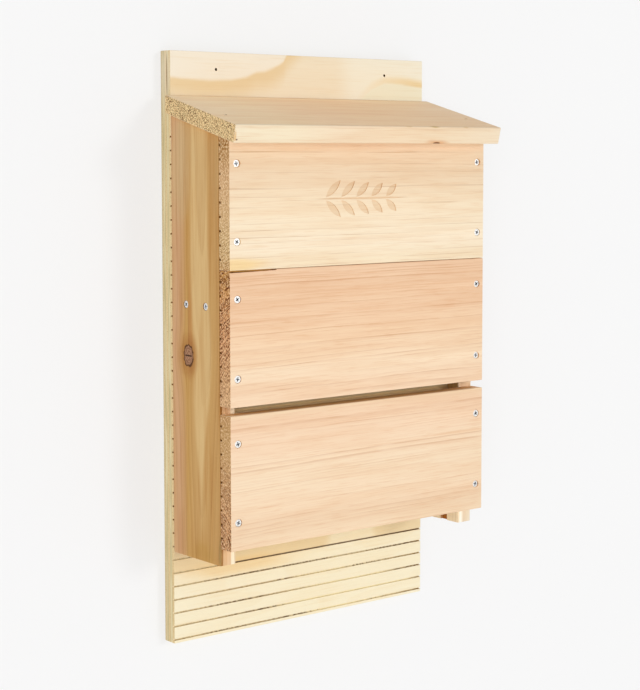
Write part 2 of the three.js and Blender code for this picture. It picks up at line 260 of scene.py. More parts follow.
# %% Turn a solid about the upright axis
def turned(name, outline, sides=24):
    bpy.ops.object.select_all(action="DESELECT")
    radius, height = outline[0]
    bpy.ops.mesh.primitive_circle_add(vertices=sides, radius=radius, fill_type="NGON",
                                      location=(0, 0, height))
    piece = bpy.context.object
    piece.name = name
    bpy.ops.object.transform_apply(location=True, rotation=True, scale=True)
    bpy.ops.object.mode_set(mode="EDIT")
    bpy.ops.mesh.select_all(action="SELECT")
    for wide, level in outline[1:]:
        bpy.ops.mesh.extrude_region_move(TRANSFORM_OT_translate={"value": (0, 0, level - height)})
        share = wide / radius
        bpy.ops.transform.resize(value=(share, share, 1), center_override=(0, 0, level))
        radius, height = wide, level
    bpy.ops.mesh.select_all(action="SELECT")
    bpy.ops.mesh.normals_make_consistent(inside=False)
    close_editing()
    return piece


# %% [markdown]
# The screw is a small countersunk wood screw: a flat head with a thin rim, a cone, a shank and a
# point. Its recess could be a dark cross in the material, but light has to fall into it, so two
# tapered blades are carved out crosswise.

# %% The screw
HEAD_RADIUS = 3.4 * MM
HEAD_HEIGHT = 2.4 * MM
HEAD_RIM = 0.3 * MM
SHANK_RADIUS = 1.3 * MM
THREAD_RADIUS = 1.75 * MM
THREAD_HEIGHT = 0.45 * MM
THREAD_PITCH = 1.6 * MM
THREAD_TURNS = 10
SCREW_LENGTH = 32 * MM
SCREW_TIP = 6 * MM
POINT_RADIUS = 0.1 * MM
RECESS_LENGTH = 4.2 * MM
RECESS_WIDTH = 1.1 * MM
RECESS_DEPTH = 1.6 * MM
RECESS_TAPER = (0.4, 0.6, 1)

screw_master = turned("screw_master", [
    (HEAD_RADIUS - 0.25 * MM, 0),
    (HEAD_RADIUS, -0.15 * MM),
    (HEAD_RADIUS, -HEAD_RIM),
    (THREAD_RADIUS, -HEAD_HEIGHT),
    (SHANK_RADIUS, -HEAD_HEIGHT - 0.6 * MM),
    (SHANK_RADIUS, SCREW_TIP - SCREW_LENGTH),
    (POINT_RADIUS, -SCREW_LENGTH),
])
for quarter_turn in (0, math.pi / 2):
    blade = block("blade", (-RECESS_LENGTH / 2, -RECESS_WIDTH / 2, -RECESS_DEPTH),
                  (RECESS_LENGTH / 2, RECESS_WIDTH / 2, 0.2 * MM))
    points = open_for_editing(blade)
    select_points(blade, points, lambda place: place.z < 0)
    bpy.ops.transform.resize(value=RECESS_TAPER, center_override=(0, 0, 0))
    close_editing()
    select_only(blade)
    blade.rotation_euler = (0, 0, quarter_turn)
    bpy.ops.object.transform_apply(location=True, rotation=True, scale=True)
    carve(screw_master, blade)
print("screw head and shank:", len(screw_master.data.polygons), "faces")

# %% [markdown]
# A thread could be a stack of rings, but a real one climbs. A small diamond is swept round and up the
# shank, ten turns, and the two ends of the swept wire are closed.

# %% The thread
bpy.ops.object.select_all(action="DESELECT")
bpy.ops.mesh.primitive_circle_add(vertices=4, radius=THREAD_HEIGHT, fill_type="NOTHING",
                                  location=(SHANK_RADIUS, 0, 1.5 * MM - SCREW_LENGTH + SCREW_TIP),
                                  rotation=(math.pi / 2, 0, 0))
thread = bpy.context.object
bpy.ops.object.transform_apply(location=True, rotation=True, scale=True)
modify(thread, "SCREW", axis="Z", angle=2 * math.pi, screw_offset=THREAD_PITCH, iterations=THREAD_TURNS,
       steps=12, render_steps=12, use_merge_vertices=False)
bpy.ops.object.mode_set(mode="EDIT")
bpy.ops.mesh.select_all(action="SELECT")
bpy.ops.mesh.fill_holes(sides=4)
bpy.ops.mesh.select_all(action="SELECT")
bpy.ops.mesh.normals_make_consistent(inside=False)
close_editing()
screw_master = join("screw_master", [screw_master, thread])

# %% [markdown]
# The cross recess is painted darker: painted shade for the little light that gets into it, and dirt that
# stays there.
# A second material could be given to these faces, but an attribute that marks them lets one zinc finish serve
# the whole screw.

# %% Mark the faces of the cross recess, so that its finish can carry painted shade
recess = screw_master.data.attributes.new("recess", "FLOAT", "FACE")
for face in screw_master.data.polygons:
    middle = face.center
    within = math.hypot(middle.x, middle.y) < RECESS_LENGTH / 2
    deep = -RECESS_DEPTH * 1.05 < middle.z < -0.02 * MM
    recess.data[face.index].value = 1.0 if within and deep else 0.0
print("recess faces:", sum(1 for item in recess.data if item.value))
print("screw:", len(screw_master.data.polygons), "faces")

# %% [markdown]
# The roof nails are round wire nails with small domed heads. The bores are turned in the same way,
# a quarter of a millimetre wider than what they hold, so that no head is buried in wood.

# %% The nail, and the hole that a screw sinks
NAIL_LENGTH = 32 * MM
NAIL_TIP = 3 * MM
NAIL_RADIUS = 0.9 * MM
NAIL_HEAD_RADIUS = 1.6 * MM
NAIL_HEAD_HEIGHT = 0.9 * MM

nail_master = turned("nail_master", [
    (NAIL_HEAD_RADIUS - 0.5 * MM, 0),
    (NAIL_HEAD_RADIUS - 0.1 * MM, -0.1 * MM),
    (NAIL_HEAD_RADIUS, -0.3 * MM),
    (NAIL_HEAD_RADIUS - 0.1 * MM, -NAIL_HEAD_HEIGHT + 0.2 * MM),
    (NAIL_RADIUS, -NAIL_HEAD_HEIGHT),
    (NAIL_RADIUS, NAIL_TIP - NAIL_LENGTH),
    (POINT_RADIUS, -NAIL_LENGTH),
], sides=16)
BORE_FIT = 0.25 * MM
screw_bore = turned("screw_bore", [
    (HEAD_RADIUS + 2 * BORE_FIT, OVERRUN),
    (HEAD_RADIUS + BORE_FIT, 0),
    (HEAD_RADIUS + BORE_FIT, -HEAD_RIM),
    (THREAD_RADIUS + BORE_FIT, -HEAD_HEIGHT - BORE_FIT),
    (THREAD_RADIUS + BORE_FIT, -SCREW_LENGTH),
])
nail_bore = turned("nail_bore", [
    (NAIL_HEAD_RADIUS + BORE_FIT, OVERRUN),
    (NAIL_HEAD_RADIUS + BORE_FIT, -NAIL_HEAD_HEIGHT - BORE_FIT),
    (NAIL_RADIUS + BORE_FIT, -NAIL_HEAD_HEIGHT - BORE_FIT),
    (NAIL_RADIUS + BORE_FIT, -NAIL_LENGTH),
], sides=16)


# %% [markdown]
# A fastener's place is read from the box of its solid. The name of the solid says which way
# its head looks: screws named for the front boards look to the front, those named for
# the back and the roof were driven from behind, and those of the baffles look to the sides.

# %% Find where each fastener's head is
ROOF_SLOPE = math.radians(14)
ROOF_UP = Vector((0, -math.sin(ROOF_SLOPE), math.cos(ROOF_SLOPE)))


def head_of(node):
    low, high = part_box(node)
    middle = (low + high) / 2
    if node.startswith("roof_nail"):
        across = NAIL_HEAD_RADIUS
        return Vector((middle.x, low.y + across * ROOF_UP.z, high.z + across * ROOF_UP.y)), ROOF_UP
    if "baffle" in node:
        side = math.copysign(1, middle.x)
        return Vector((low.x if side < 0 else high.x, middle.y, middle.z)), Vector((side, 0, 0))
    if node.startswith(("back", "roof")):
        return Vector((middle.x, high.y, middle.z)), Vector((0, 1, 0))
    return Vector((middle.x, low.y, middle.z)), Vector((0, -1, 0))


def set_in(master, name, node, turn=0, deeper=0):
    head, outward = head_of(node)
    piece = master.copy()
    piece.data = master.data.copy()
    piece.name = name
    bpy.context.scene.collection.objects.link(piece)
    facing = outward.to_track_quat("Z", "Y").to_matrix().to_4x4()
    spun = Matrix.Rotation(turn, 4, "Z")
    piece.matrix_world = Matrix.Translation(head - outward * deeper) @ facing @ spun
    select_only(piece)
    bpy.ops.object.transform_apply(location=True, rotation=True, scale=True)
    return piece


# %% [markdown]
# Nobody drives all screws to the same angle, so each copy is spun 2.4 radians further than the last.
# Six were driven a little below the face, as the photograph shows.

# %% Set the screws and nails
screw_nodes = sorted(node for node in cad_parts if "screw" in node)
nail_nodes = sorted(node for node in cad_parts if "nail" in node)
deep_screws = {"upper_screw_left_high": 0.9 * MM, "upper_screw_right_high": 0.8 * MM,
               "middle_screw_right_low": 0.6 * MM, "middle_screw_right_high": 0.4 * MM,
               "upper_screw_left_low": 0.3 * MM, "lower_screw_right_low": 0.3 * MM}
GOLDEN_TURN = 2.4
screws = [set_in(screw_master, "zinc_" + node, node, GOLDEN_TURN * index, deep_screws.get(node, 0))
          for index, node in enumerate(screw_nodes)]
nails = [set_in(nail_master, "steel_" + node, node) for node in nail_nodes]
print("screws:", len(screws), "nails:", len(nails))


# %% [markdown]
# Each board is bored where its fasteners go. The cutters are copies of the bore masters, set in
# by the same function as the fasteners, so head and hole can't drift apart.

# %% Bore a board for the fasteners that cross it
def bore_for(piece, nodes):
    cutters = []
    for node in nodes:
        master = nail_bore if "nail" in node else screw_bore
        cutters.append(set_in(master, "cutter", node))
    carve(piece, join("cutters", cutters))


def nodes_with(*words):
    return [node for node in screw_nodes + nail_nodes if any(word in node for word in words)]


# %% [markdown]
# ## The plywood back
#
# The back is one plywood board, 16 mm thick. Thirty-eight saw cuts run across its face from
# the landing, where the bats touch down, up to the roof. Their ends show as a row of small notches
# along its left edge. Two holes near the top take the wall screws.
# The screw bores are cut first, one by one, while the blank is still simple. Cut last, one
# of them would keep a stray wall, because a saw cut crosses it.

# %% Plywood back
HANGING_HOLE_RADIUS = 1.35 * MM
HANGING_HOLE_X = 102 * MM
FIRST_BACK_KERF = 3.5 * MM
KERF_STOP_UNDER_ROOF = 17 * MM
TEAR = 0.4 * MM
TEAR_GRAIN = 3 * MM
TEAR_STEP = 2.2 * MM
DRILL_LENGTH = 40 * MM
ROOF_THICKNESS = 16.5 * MM

back_low, back_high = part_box("backboard")
roof_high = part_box("roof")[1]
plywood_back = block("plywood_back", back_low, back_high)
ease(plywood_back, SMALL_ARRIS)

roof_underside_z = roof_high.z - ROOF_THICKNESS / math.cos(ROOF_SLOPE)
back_kerf_run = roof_underside_z - KERF_STOP_UNDER_ROOF - back_low.z - FIRST_BACK_KERF
count = int(back_kerf_run / KERF_PITCH) + 1
comb = kerf_comb("comb", back_low.y, 1, back_low.z + FIRST_BACK_KERF, back_high.x + OVERRUN, PLYWOOD_KERF)
divide(comb, 0, TEAR_STEP)
repeat_up(comb, count)
roughen(comb, "torn_veneer", lambda place: True, TEAR_GRAIN, -TEAR)
for node in nodes_with("back_screw", "roof_screw"):
    bore_for(plywood_back, [node])
for side in (-1, 1):
    bpy.ops.object.select_all(action="DESELECT")
    bpy.ops.mesh.primitive_cylinder_add(vertices=24, radius=HANGING_HOLE_RADIUS, depth=DRILL_LENGTH,
                                        location=(side * HANGING_HOLE_X, back_low.y / 2, 0),
                                        rotation=(math.pi / 2, 0, 0))
    drill = bpy.context.object
    bpy.ops.object.transform_apply(location=True, rotation=True, scale=True)
    carve(plywood_back, drill)
carve(plywood_back, comb)
print("plywood back:", len(plywood_back.data.polygons), "faces,", count, "saw cuts")

# %% [markdown]
# ## The side boards
#
# Each side board stands on end, so its grain runs up and down. Its top is sawn to the slope of
# the roof, and two shallow housings run down its inner face for the ends of the baffles.

# %% Side boards
BAFFLE_FIT = 0.3 * MM
HOUSING_DEPTH = 3 * MM
SIDE_ARRIS = 0.8 * MM
SIDE_ROW = 6 * MM
SIDE_SQUARE = 1.5 * MM
END_SQUARE = 1.2 * MM
END_PIT = 0.3 * MM
NEAR = 0.05 * MM

side_boards = {}
for hand, side in (("left", -1), ("right", 1)):
    low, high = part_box(hand + "_side")
    piece = block("side_board_" + hand, low, high)
    points = open_for_editing(piece)
    fall = (high.y - low.y) * math.tan(ROOF_SLOPE)
    select_points(piece, points, lambda place: place.z > high.z - MM and place.y < low.y + MM)
    bpy.ops.transform.translate(value=(0, 0, -fall))
    close_editing()
    divide(piece, 2, SIDE_ROW)
    divide(piece, 1, SIDE_SQUARE)
    divide(piece, 0, SIDE_SQUARE)
    ease(piece, SIDE_ARRIS)
    roughen(piece, "sawn_end", lambda place: place.z < low.z + NEAR, END_SQUARE, END_PIT)
    inner = side * (abs(low.x) if side > 0 else abs(high.x))
    for baffle in ("front_baffle", "rear_baffle"):
        baffle_low, baffle_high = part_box(baffle)
        edges = sorted((inner + side * HOUSING_DEPTH, inner - side * OVERRUN))
        housing = block("housing", (edges[0], baffle_low.y - BAFFLE_FIT, low.z - OVERRUN),
                        (edges[1], baffle_high.y + BAFFLE_FIT, high.z + OVERRUN))
        carve(piece, housing)
    crossing = nodes_with("screw_" + hand, "nail_" + hand)
    bore_for(piece, [node for node in crossing if "roof_screw" not in node])
    side_boards[hand] = piece
    print(piece.name, len(piece.data.polygons), "faces")

# %% [markdown]
# ## The front boards
#
# Three boards close the front, with their grain across. Their inner faces are grooved like the back,
# and the ends of the grooves show at the left as a column of dots. The upper board's top is planed
# to the slope of the roof. The long outer edges are softened with a small round.

# %% Front boards
FRONT_ARRIS = 0.7 * MM
UNCUT_MARGINS = 16 * MM


def kerf_rows(low, high):
    count = int((high.z - low.z - UNCUT_MARGINS) / KERF_PITCH) + 1
    first = low.z + (high.z - low.z - (count - 1) * KERF_PITCH) / 2
    return count, first


front_boards = {}
for level in ("upper", "middle", "lower"):
    low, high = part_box("front_" + level)
    piece = block("front_board_" + level, low, high)
    if level == "upper":
        points = open_for_editing(piece)
        fall = (high.y - low.y) * math.tan(ROOF_SLOPE)
        select_points(piece, points, lambda place: place.z > high.z - MM and place.y < low.y + MM)
        bpy.ops.transform.translate(value=(0, 0, -fall))
        close_editing()
    divide(piece, 2, END_SQUARE)
    divide(piece, 1, END_SQUARE)
    ease(piece, FRONT_ARRIS)
    roughen(piece, "sawn_end", lambda place: abs(place.x) > high.x - NEAR, END_SQUARE, END_PIT)
    count, first = kerf_rows(low, high)
    comb = kerf_comb("comb", high.y, -1, first, high.x + OVERRUN, depth=FRONT_KERF_DEPTH)
    repeat_up(comb, count)
    carve(piece, comb)
    bore_for(piece, nodes_with(level + "_screw"))
    front_boards[level] = piece
    print(piece.name, len(piece.data.polygons), "faces")

# %% [markdown]
# ## The leaf sprig
#
# A small ornament is pressed into the middle of the upper board. It is a plain sprig with
# paired leaves. It could be a bump in the material, but a pressed line catches the light
# on real edges, so leaf-shaped punches are cut into the face, less than a millimetre deep.

# %% Leaf-shaped punches
SPRIG_CENTRE = (-1 * MM, -119 * MM)
SPRIG_DEPTH = 0.7 * MM
LEAF_POINTS = 24
STEM_LENGTH, STEM_WIDTH = 112 * MM, 1.8 * MM
FIRST_LEAF_X, LEAF_SPACING = -44 * MM, 18 * MM
LEAF_LENGTH, LEAF_SHORTENS, LEAF_WIDTH = 23 * MM, 1.6 * MM, 7 * MM
LEAF_GAP = 1.6 * MM
LEAF_ANGLE = math.radians(42)


def leaf_punch(length, width, root, angle, face_y):
    bpy.ops.object.select_all(action="DESELECT")
    bpy.ops.mesh.primitive_circle_add(vertices=LEAF_POINTS, radius=1, fill_type="NGON",
                                      rotation=(math.pi / 2, 0, 0))
    punch = bpy.context.object
    bpy.ops.object.transform_apply(location=True, rotation=True, scale=True)
    points = open_for_editing(punch)
    reaches = sorted({round(abs(point.co.x), 4) for point in points.verts})
    for reach in reaches:
        for point in points.verts:
            point.select = abs(abs(point.co.x) - reach) < 0.001
        points.select_flush(True)
        bmesh.update_edit_mesh(punch.data)
        slimmer = math.sqrt(max(0, 1 - reach * reach))
        bpy.ops.transform.resize(value=(1, 1, slimmer), center_override=(0, 0, 0))
    bpy.ops.mesh.select_all(action="SELECT")
    bpy.ops.mesh.extrude_region_move(TRANSFORM_OT_translate={"value": (0, SPRIG_DEPTH + OVERRUN, 0)})
    bpy.ops.mesh.select_all(action="SELECT")
    bpy.ops.mesh.normals_make_consistent(inside=False)
    close_editing()
    punch.scale = (length / 2, 1, width / 2)
    punch.rotation_euler = (0, -angle, 0)
    half = length / 2
    punch.location = (root[0] + math.cos(angle) * half, face_y - OVERRUN, root[1] + math.sin(angle) * half)
    bpy.ops.object.transform_apply(location=True, rotation=True, scale=True)
    return punch


# %% [markdown]
# One long punch makes the stem. Five pairs of leaves stand along it, each shorter than the last, and
# a loop sets them out from the centre of the sprig.

# %% Press the sprig into the upper board
face_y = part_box("front_upper")[0].y
centre_x, centre_z = SPRIG_CENTRE
punches = [leaf_punch(STEM_LENGTH, STEM_WIDTH, (centre_x - STEM_LENGTH / 2, centre_z), 0, face_y)]
for step in range(5):
    root_x = centre_x + FIRST_LEAF_X + LEAF_SPACING * step
    leaf_length = LEAF_LENGTH - LEAF_SHORTENS * step
    for lift in (-1, 1):
        root = (root_x, centre_z + lift * LEAF_GAP)
        punches.append(leaf_punch(leaf_length, LEAF_WIDTH, root, lift * LEAF_ANGLE, face_y))
for punch in punches:
    carve(front_boards["upper"], punch)
print("sprig:", len(punches), "punches")

# %% [markdown]
# ## The torn joint
#
# Where the upper and the middle board meet, a sliver has split from the arris of the middle one.
# The joint gapes at the left end and closes after about 50 mm. A thin wedge is cut away for it.

# %% Split a sliver from the middle board
SPLIT_LENGTH = 51 * MM
SPLIT_HEIGHT = 1.9 * MM
SPLIT_END_HEIGHT = 1.1 * MM
SPLIT_DEPTH = 3 * MM
SPLIT_STEP = 2.5 * MM
SPLIT_GRAIN, SPLIT_PIT = 5 * MM, 0.6 * MM

middle_low, middle_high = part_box("front_middle")
wedge = block("wedge", (middle_low.x - OVERRUN, middle_low.y - OVERRUN, middle_high.z - SPLIT_HEIGHT),
              (middle_low.x + SPLIT_LENGTH, middle_low.y + SPLIT_DEPTH, middle_high.z + OVERRUN))
points = open_for_editing(wedge)
select_points(wedge, points, lambda place: place.x > middle_low.x and place.z < middle_high.z)
bpy.ops.transform.translate(value=(0, 0, SPLIT_HEIGHT - SPLIT_END_HEIGHT))
bpy.ops.mesh.select_all(action="DESELECT")
select_points(wedge, points, lambda place: place.y > middle_low.y and place.z < middle_high.z)
bpy.ops.transform.translate(value=(0, 0, SPLIT_END_HEIGHT * 0.8))
close_editing()
divide(wedge, 0, SPLIT_STEP)
roughen(wedge, "torn", lambda place: place.z < middle_high.z - 0.1 * MM, SPLIT_GRAIN, SPLIT_PIT, "Z")
carve(front_boards["middle"], wedge)

# %% [markdown]
# ## The baffles
#
# Two thinner boards hang inside and part the box into three chambers. They are left rough from
# the saw and grooved on both faces. Only the front one shows, through the ventilation slot.

# %% Baffles
baffles = {}
for name in ("front_baffle", "rear_baffle"):
    low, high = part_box(name)
    piece = block(name.replace("baffle", "partition"), low, high)
    ease(piece, SMALL_ARRIS)
    count, first = kerf_rows(low, high)
    for face, into, start, number in ((high.y, -1, first, count),
                                      (low.y, 1, first + KERF_PITCH / 2, count - 1)):
        comb = kerf_comb("comb", face, into, start, high.x + OVERRUN)
        repeat_up(comb, number)
        carve(piece, comb)
    bore_for(piece, nodes_with(name + "_screw"))
    baffles[name] = piece
    print(piece.name, len(piece.data.polygons), "faces")

# %% [markdown]
# ## The roof
#
# The roof is one board that slopes to the front. Its blank is laid at the slope, and a bisect
# cuts its upper end plumb, where it meets the back. Its ends are sawn end grain, so they are
# divided finely and roughened.

# %% Roof
BLANK_LENGTH = 130 * MM
ROOF_REACH = 111.6 * MM
ROOF_ARRIS, ROOF_PIT = 1.8 * MM, 0.5 * MM
ROOF_RUN = Vector((0, math.cos(ROOF_SLOPE), math.sin(ROOF_SLOPE)))

roof_front_top = Vector((0, roof_high.y - ROOF_REACH, roof_high.z - ROOF_REACH * math.tan(ROOF_SLOPE)))
blank_centre = roof_front_top - ROOF_UP * ROOF_THICKNESS / 2 + ROOF_RUN * BLANK_LENGTH / 2
half = Vector((roof_high.x, BLANK_LENGTH / 2, ROOF_THICKNESS / 2))
roof_board = block("roof_board", blank_centre - half, blank_centre + half, (ROOF_SLOPE, 0, 0))
open_for_editing(roof_board)
bpy.ops.mesh.select_all(action="SELECT")
bpy.ops.mesh.bisect(plane_co=(0, roof_high.y, 0), plane_no=(0, 1, 0), use_fill=True, clear_outer=True)
close_editing()
divide(roof_board, 1, END_SQUARE)
divide(roof_board, 2, END_SQUARE)
ease(roof_board, ROOF_ARRIS, 3)
roughen(roof_board, "sawn_end", lambda place: abs(place.x) > roof_high.x - NEAR, END_SQUARE, ROOF_PIT)
bore_for(roof_board, nodes_with("roof"))
print("roof:", len(roof_board.data.polygons), "faces")

# %% [markdown]
# The master screw, the nail and the bores have done their work. Left in the scene they would count
# as pieces, so they are deleted.

# %% Put the masters away
for master in (screw_master, nail_master, screw_bore, nail_bore):
    select_only(master)
    bpy.ops.object.delete()

# %% [markdown]
# ## Tools for materials
#
# Every finish is a small network of nodes that reads the place of a point on the object,
# so it holds from every side. A few short functions keep the networks readable. paint takes a tone
# as it looks on a screen, cloud is a soft noise stretched to a size in millimetres, drift is the same
# noise about zero, rise is a smooth step, and bands lays tones along a direction. A stop of
# bands is a place with red, green and blue, or with one grey.

# %% Nodes as functions
def paint(*tone):
    def linear(value):
        share = value / 255
        return share / 12.92 if share <= 0.04045 else ((share + 0.055) / 1.055) ** 2.4
    red, green, blue = tone * 3 if len(tone) == 1 else tone
    return (linear(red), linear(green), linear(blue), 1)


def add(tree, kind, inputs=None, output=0, **settings):
    made = tree.nodes.new("ShaderNode" + kind)
    for name, value in settings.items():
        setattr(made, name, value)
    for key, value in (inputs or {}).items():
        if isinstance(value, bpy.types.NodeSocket):
            tree.links.new(value, made.inputs[key])
        else:
            made.inputs[key].default_value = value
    return made.outputs[output]


def calc(tree, how, *values, clamp=False):
    return add(tree, "Math", dict(enumerate(values)), operation=how, use_clamp=clamp)


def times(tree, first, *others):
    for other in others:
        first = calc(tree, "MULTIPLY", first, other)
    return first


def plus(tree, first, *others):
    for other in others:
        first = calc(tree, "ADD", first, other)
    return first


def minus(tree, first, second):
    return calc(tree, "SUBTRACT", first, second)


def split(tree, vector):
    parts = add(tree, "SeparateXYZ", {0: vector}).node
    return parts.outputs[0], parts.outputs[1], parts.outputs[2]


def rise(tree, value, start, end):
    return add(tree, "MapRange", {"Value": value, 1: start, 2: end, 3: 0.0, 4: 1.0},
               interpolation_type="SMOOTHSTEP")


def blend(tree, share, first, second, how="MIX"):
    return add(tree, "Mix", {0: share, 6: first, 7: second}, output=2, data_type="RGBA", blend_type=how)


def cloud(tree, point, size, shift=0.0, detail=2.0, rough=0.5):
    scale = tuple(1 / length for length in size)
    moved = add(tree, "VectorMath", {0: point, 1: scale, 2: (shift, shift * 0.7, shift * 1.3)},
                operation="MULTIPLY_ADD")
    return add(tree, "TexNoise", {"Vector": moved, "Scale": 1.0, "Detail": detail, "Roughness": rough})


def drift(tree, point, size, shift):
    return minus(tree, cloud(tree, point, size, shift), 0.5)


def bands(tree, value, stops, mix=paint):
    low, high = stops[0][0], stops[-1][0]
    share = add(tree, "MapRange", {"Value": value, 1: low, 2: high, 3: 0.0, 4: 1.0})
    ramp = add(tree, "ValToRGB", {0: share}).node
    marks = ramp.color_ramp.elements
    while len(marks) < len(stops):
        marks.new(1)
    for mark, (place, *tone) in zip(marks, stops):
        mark.position = (place - low) / (high - low)
        mark.color = mix(*tone)
    return ramp.outputs[0]


def start_material(name):
    material = bpy.data.materials.new(name)
    material.use_nodes = True
    tree = material.node_tree
    return material, tree, tree.nodes["Principled BSDF"]


# %% [markdown]
# ## Solid timber
#
# A board is a slice of a tree. Its figure could be painted as streaks, but then the face,
# the edge and the end grain would not agree. So the material knows where the heart of
# the tree lay beside the board, and measures how far each point is from it. The distance
# gives the growth ring: pale early wood that ends in a thin dark line of late wood.
# The same rings then run as lines along the face and as arcs over the end.
# In the timber's own directions the first runs along the grain, the second across the face
# and the third out of it, all in millimetres.

# %% Patches of tone, and a line drawn from points
def patch(tree, place, centre, reach, seed=0.0, ragged=0.6, hard=0.5):
    squares = []
    for part, middle, radius in zip(place, centre, reach):
        run = calc(tree, "DIVIDE", minus(tree, part, middle), radius)
        squares.append(times(tree, run, run))
    distance = calc(tree, "SQRT", plus(tree, *squares))
    joined = add(tree, "CombineXYZ", {0: place[0], 1: place[1], 2: place[2]})
    noise = drift(tree, joined, [min(radius, 60) * 0.8 for radius in reach], seed)
    return rise(tree, plus(tree, distance, times(tree, noise, ragged)), 1.0, hard)


def height_over(tree, value, points):
    lowest = min(height for _, height in points)
    span = max(height for _, height in points) - lowest
    stops = [(place, (height - lowest) / span) for place, height in points]
    share = bands(tree, value, stops, mix=lambda part: (part, part, part, 1))
    return calc(tree, "MULTIPLY_ADD", share, span, lowest)


def inside_box(tree, place, low, high):
    shares = []
    for part, start, end in zip(place, low, high):
        shares += [rise(tree, part, start, start + 0.25), rise(tree, part, end, end - 0.25)]
    return times(tree, *shares)


# %% [markdown]
# A knot is where a branch left the trunk, and the grain flows round it. It could be laid over the
# lines as a spot, but then they would run straight into it. So the place of each point
# is first pulled towards the knot, which bends every line that is drawn later, and the knot
# with its dark rim and its drying check is painted last.

# %% Knots
def pull_round_knots(tree, along, across, knots):
    shares = []
    for knot_along, knot_across, long_radius, wide_radius in knots:
        run = calc(tree, "DIVIDE", minus(tree, along, knot_along), long_radius)
        reach = calc(tree, "DIVIDE", minus(tree, across, knot_across), wide_radius)
        square = plus(tree, times(tree, run, run), times(tree, reach, reach))
        pull = calc(tree, "DIVIDE", 1.1, plus(tree, times(tree, square, 0.28), 1.1))
        across = minus(tree, across, times(tree, minus(tree, across, knot_across), pull))
        shares.append((calc(tree, "SQRT", square), run, reach))
    return across, shares


def paint_knots(tree, point, colour, shares):
    for distance, run, reach in shares:
        swirl = add(tree, "TexNoise", {"Vector": point, "Scale": 0.25, "Detail": 2.0})
        wobbly = plus(tree, distance, times(tree, minus(tree, swirl, 0.5), 0.5))
        halo = times(tree, rise(tree, wobbly, 2.6, 1.0), 0.45)
        colour = blend(tree, halo, colour, paint(196, 140, 92), "MULTIPLY")
        rings = rise(tree, calc(tree, "SINE", times(tree, wobbly, 21.0)), -0.2, 0.9)
        heartwood = blend(tree, rings, paint(178, 132, 100), paint(142, 100, 74))
        colour = blend(tree, rise(tree, wobbly, 1.0, 0.9), colour, heartwood)
        rim = times(tree, rise(tree, wobbly, 0.78, 0.92), rise(tree, wobbly, 1.12, 0.98))
        colour = blend(tree, rim, colour, paint(96, 62, 36))
        check = times(tree, rise(tree, calc(tree, "ABSOLUTE", run), 0.09, 0.04),
                      rise(tree, calc(tree, "ABSOLUTE", reach), 0.75, 0.6))
        colour = blend(tree, check, colour, paint(70, 44, 28))
    return colour


# %% [markdown]
# Counting rings outwards from the heart gives one number for each point of the board. Its whole part is
# the year and its fraction is the time of that year, so the line of late wood lies
# where the fraction nears one. Some years grow a stronger line than others.

# %% Growth rings
def growth_rings(tree, point, spot, grown, seed):
    along, across, out = spot
    sideways = calc(tree, "MULTIPLY_ADD", along, -grown["lean"][0], across)
    swing = drift(tree, point, (240, 40, 40), seed)
    sideways = minus(tree, calc(tree, "MULTIPLY_ADD", swing, grown["warp"], sideways), grown["heart"][0])
    inwards = calc(tree, "MULTIPLY_ADD", along, -grown["lean"][1], out)
    swing = drift(tree, point, (300, 50, 50), seed + 9)
    inwards = minus(tree, calc(tree, "MULTIPLY_ADD", swing, grown["warp"], inwards), grown["heart"][1])
    radius = calc(tree, "SQRT", plus(tree, times(tree, sideways, sideways), times(tree, inwards, inwards)))
    slow = calc(tree, "DIVIDE", radius, grown["ring"] * 3.1)
    years = add(tree, "TexNoise", {"W": slow, "Scale": 1.0, "Detail": 1.0}, noise_dimensions="1D")
    return calc(tree, "MULTIPLY_ADD", years, 2.6, calc(tree, "DIVIDE", radius, grown["ring"]))


def late_wood(tree, point, count, thickness, seed):
    share = calc(tree, "FRACT", count)
    year = plus(tree, calc(tree, "FLOOR", count), seed)
    vigour = add(tree, "TexWhiteNoise", {"W": year}, noise_dimensions="1D")
    stop = rise(tree, share, 1.0, 0.97)
    fading = rise(tree, cloud(tree, point, (90, 12, 12), seed + 21), 0.40, 0.64)
    faint = times(tree, fading, calc(tree, "MULTIPLY_ADD", vigour, 0.8, 0.2))
    thin = times(tree, rise(tree, share, 1 - thickness, 0.96), stop, faint)
    soft = times(tree, rise(tree, share, 0.1, 0.9), stop, vigour)
    return thin, soft


# %% [markdown]
# On a sawn end the same rings show as arcs, torn into short dashes by the saw, between open pores
# and pale flecks. The end gets its own colour from them, and pits that the bump can use.

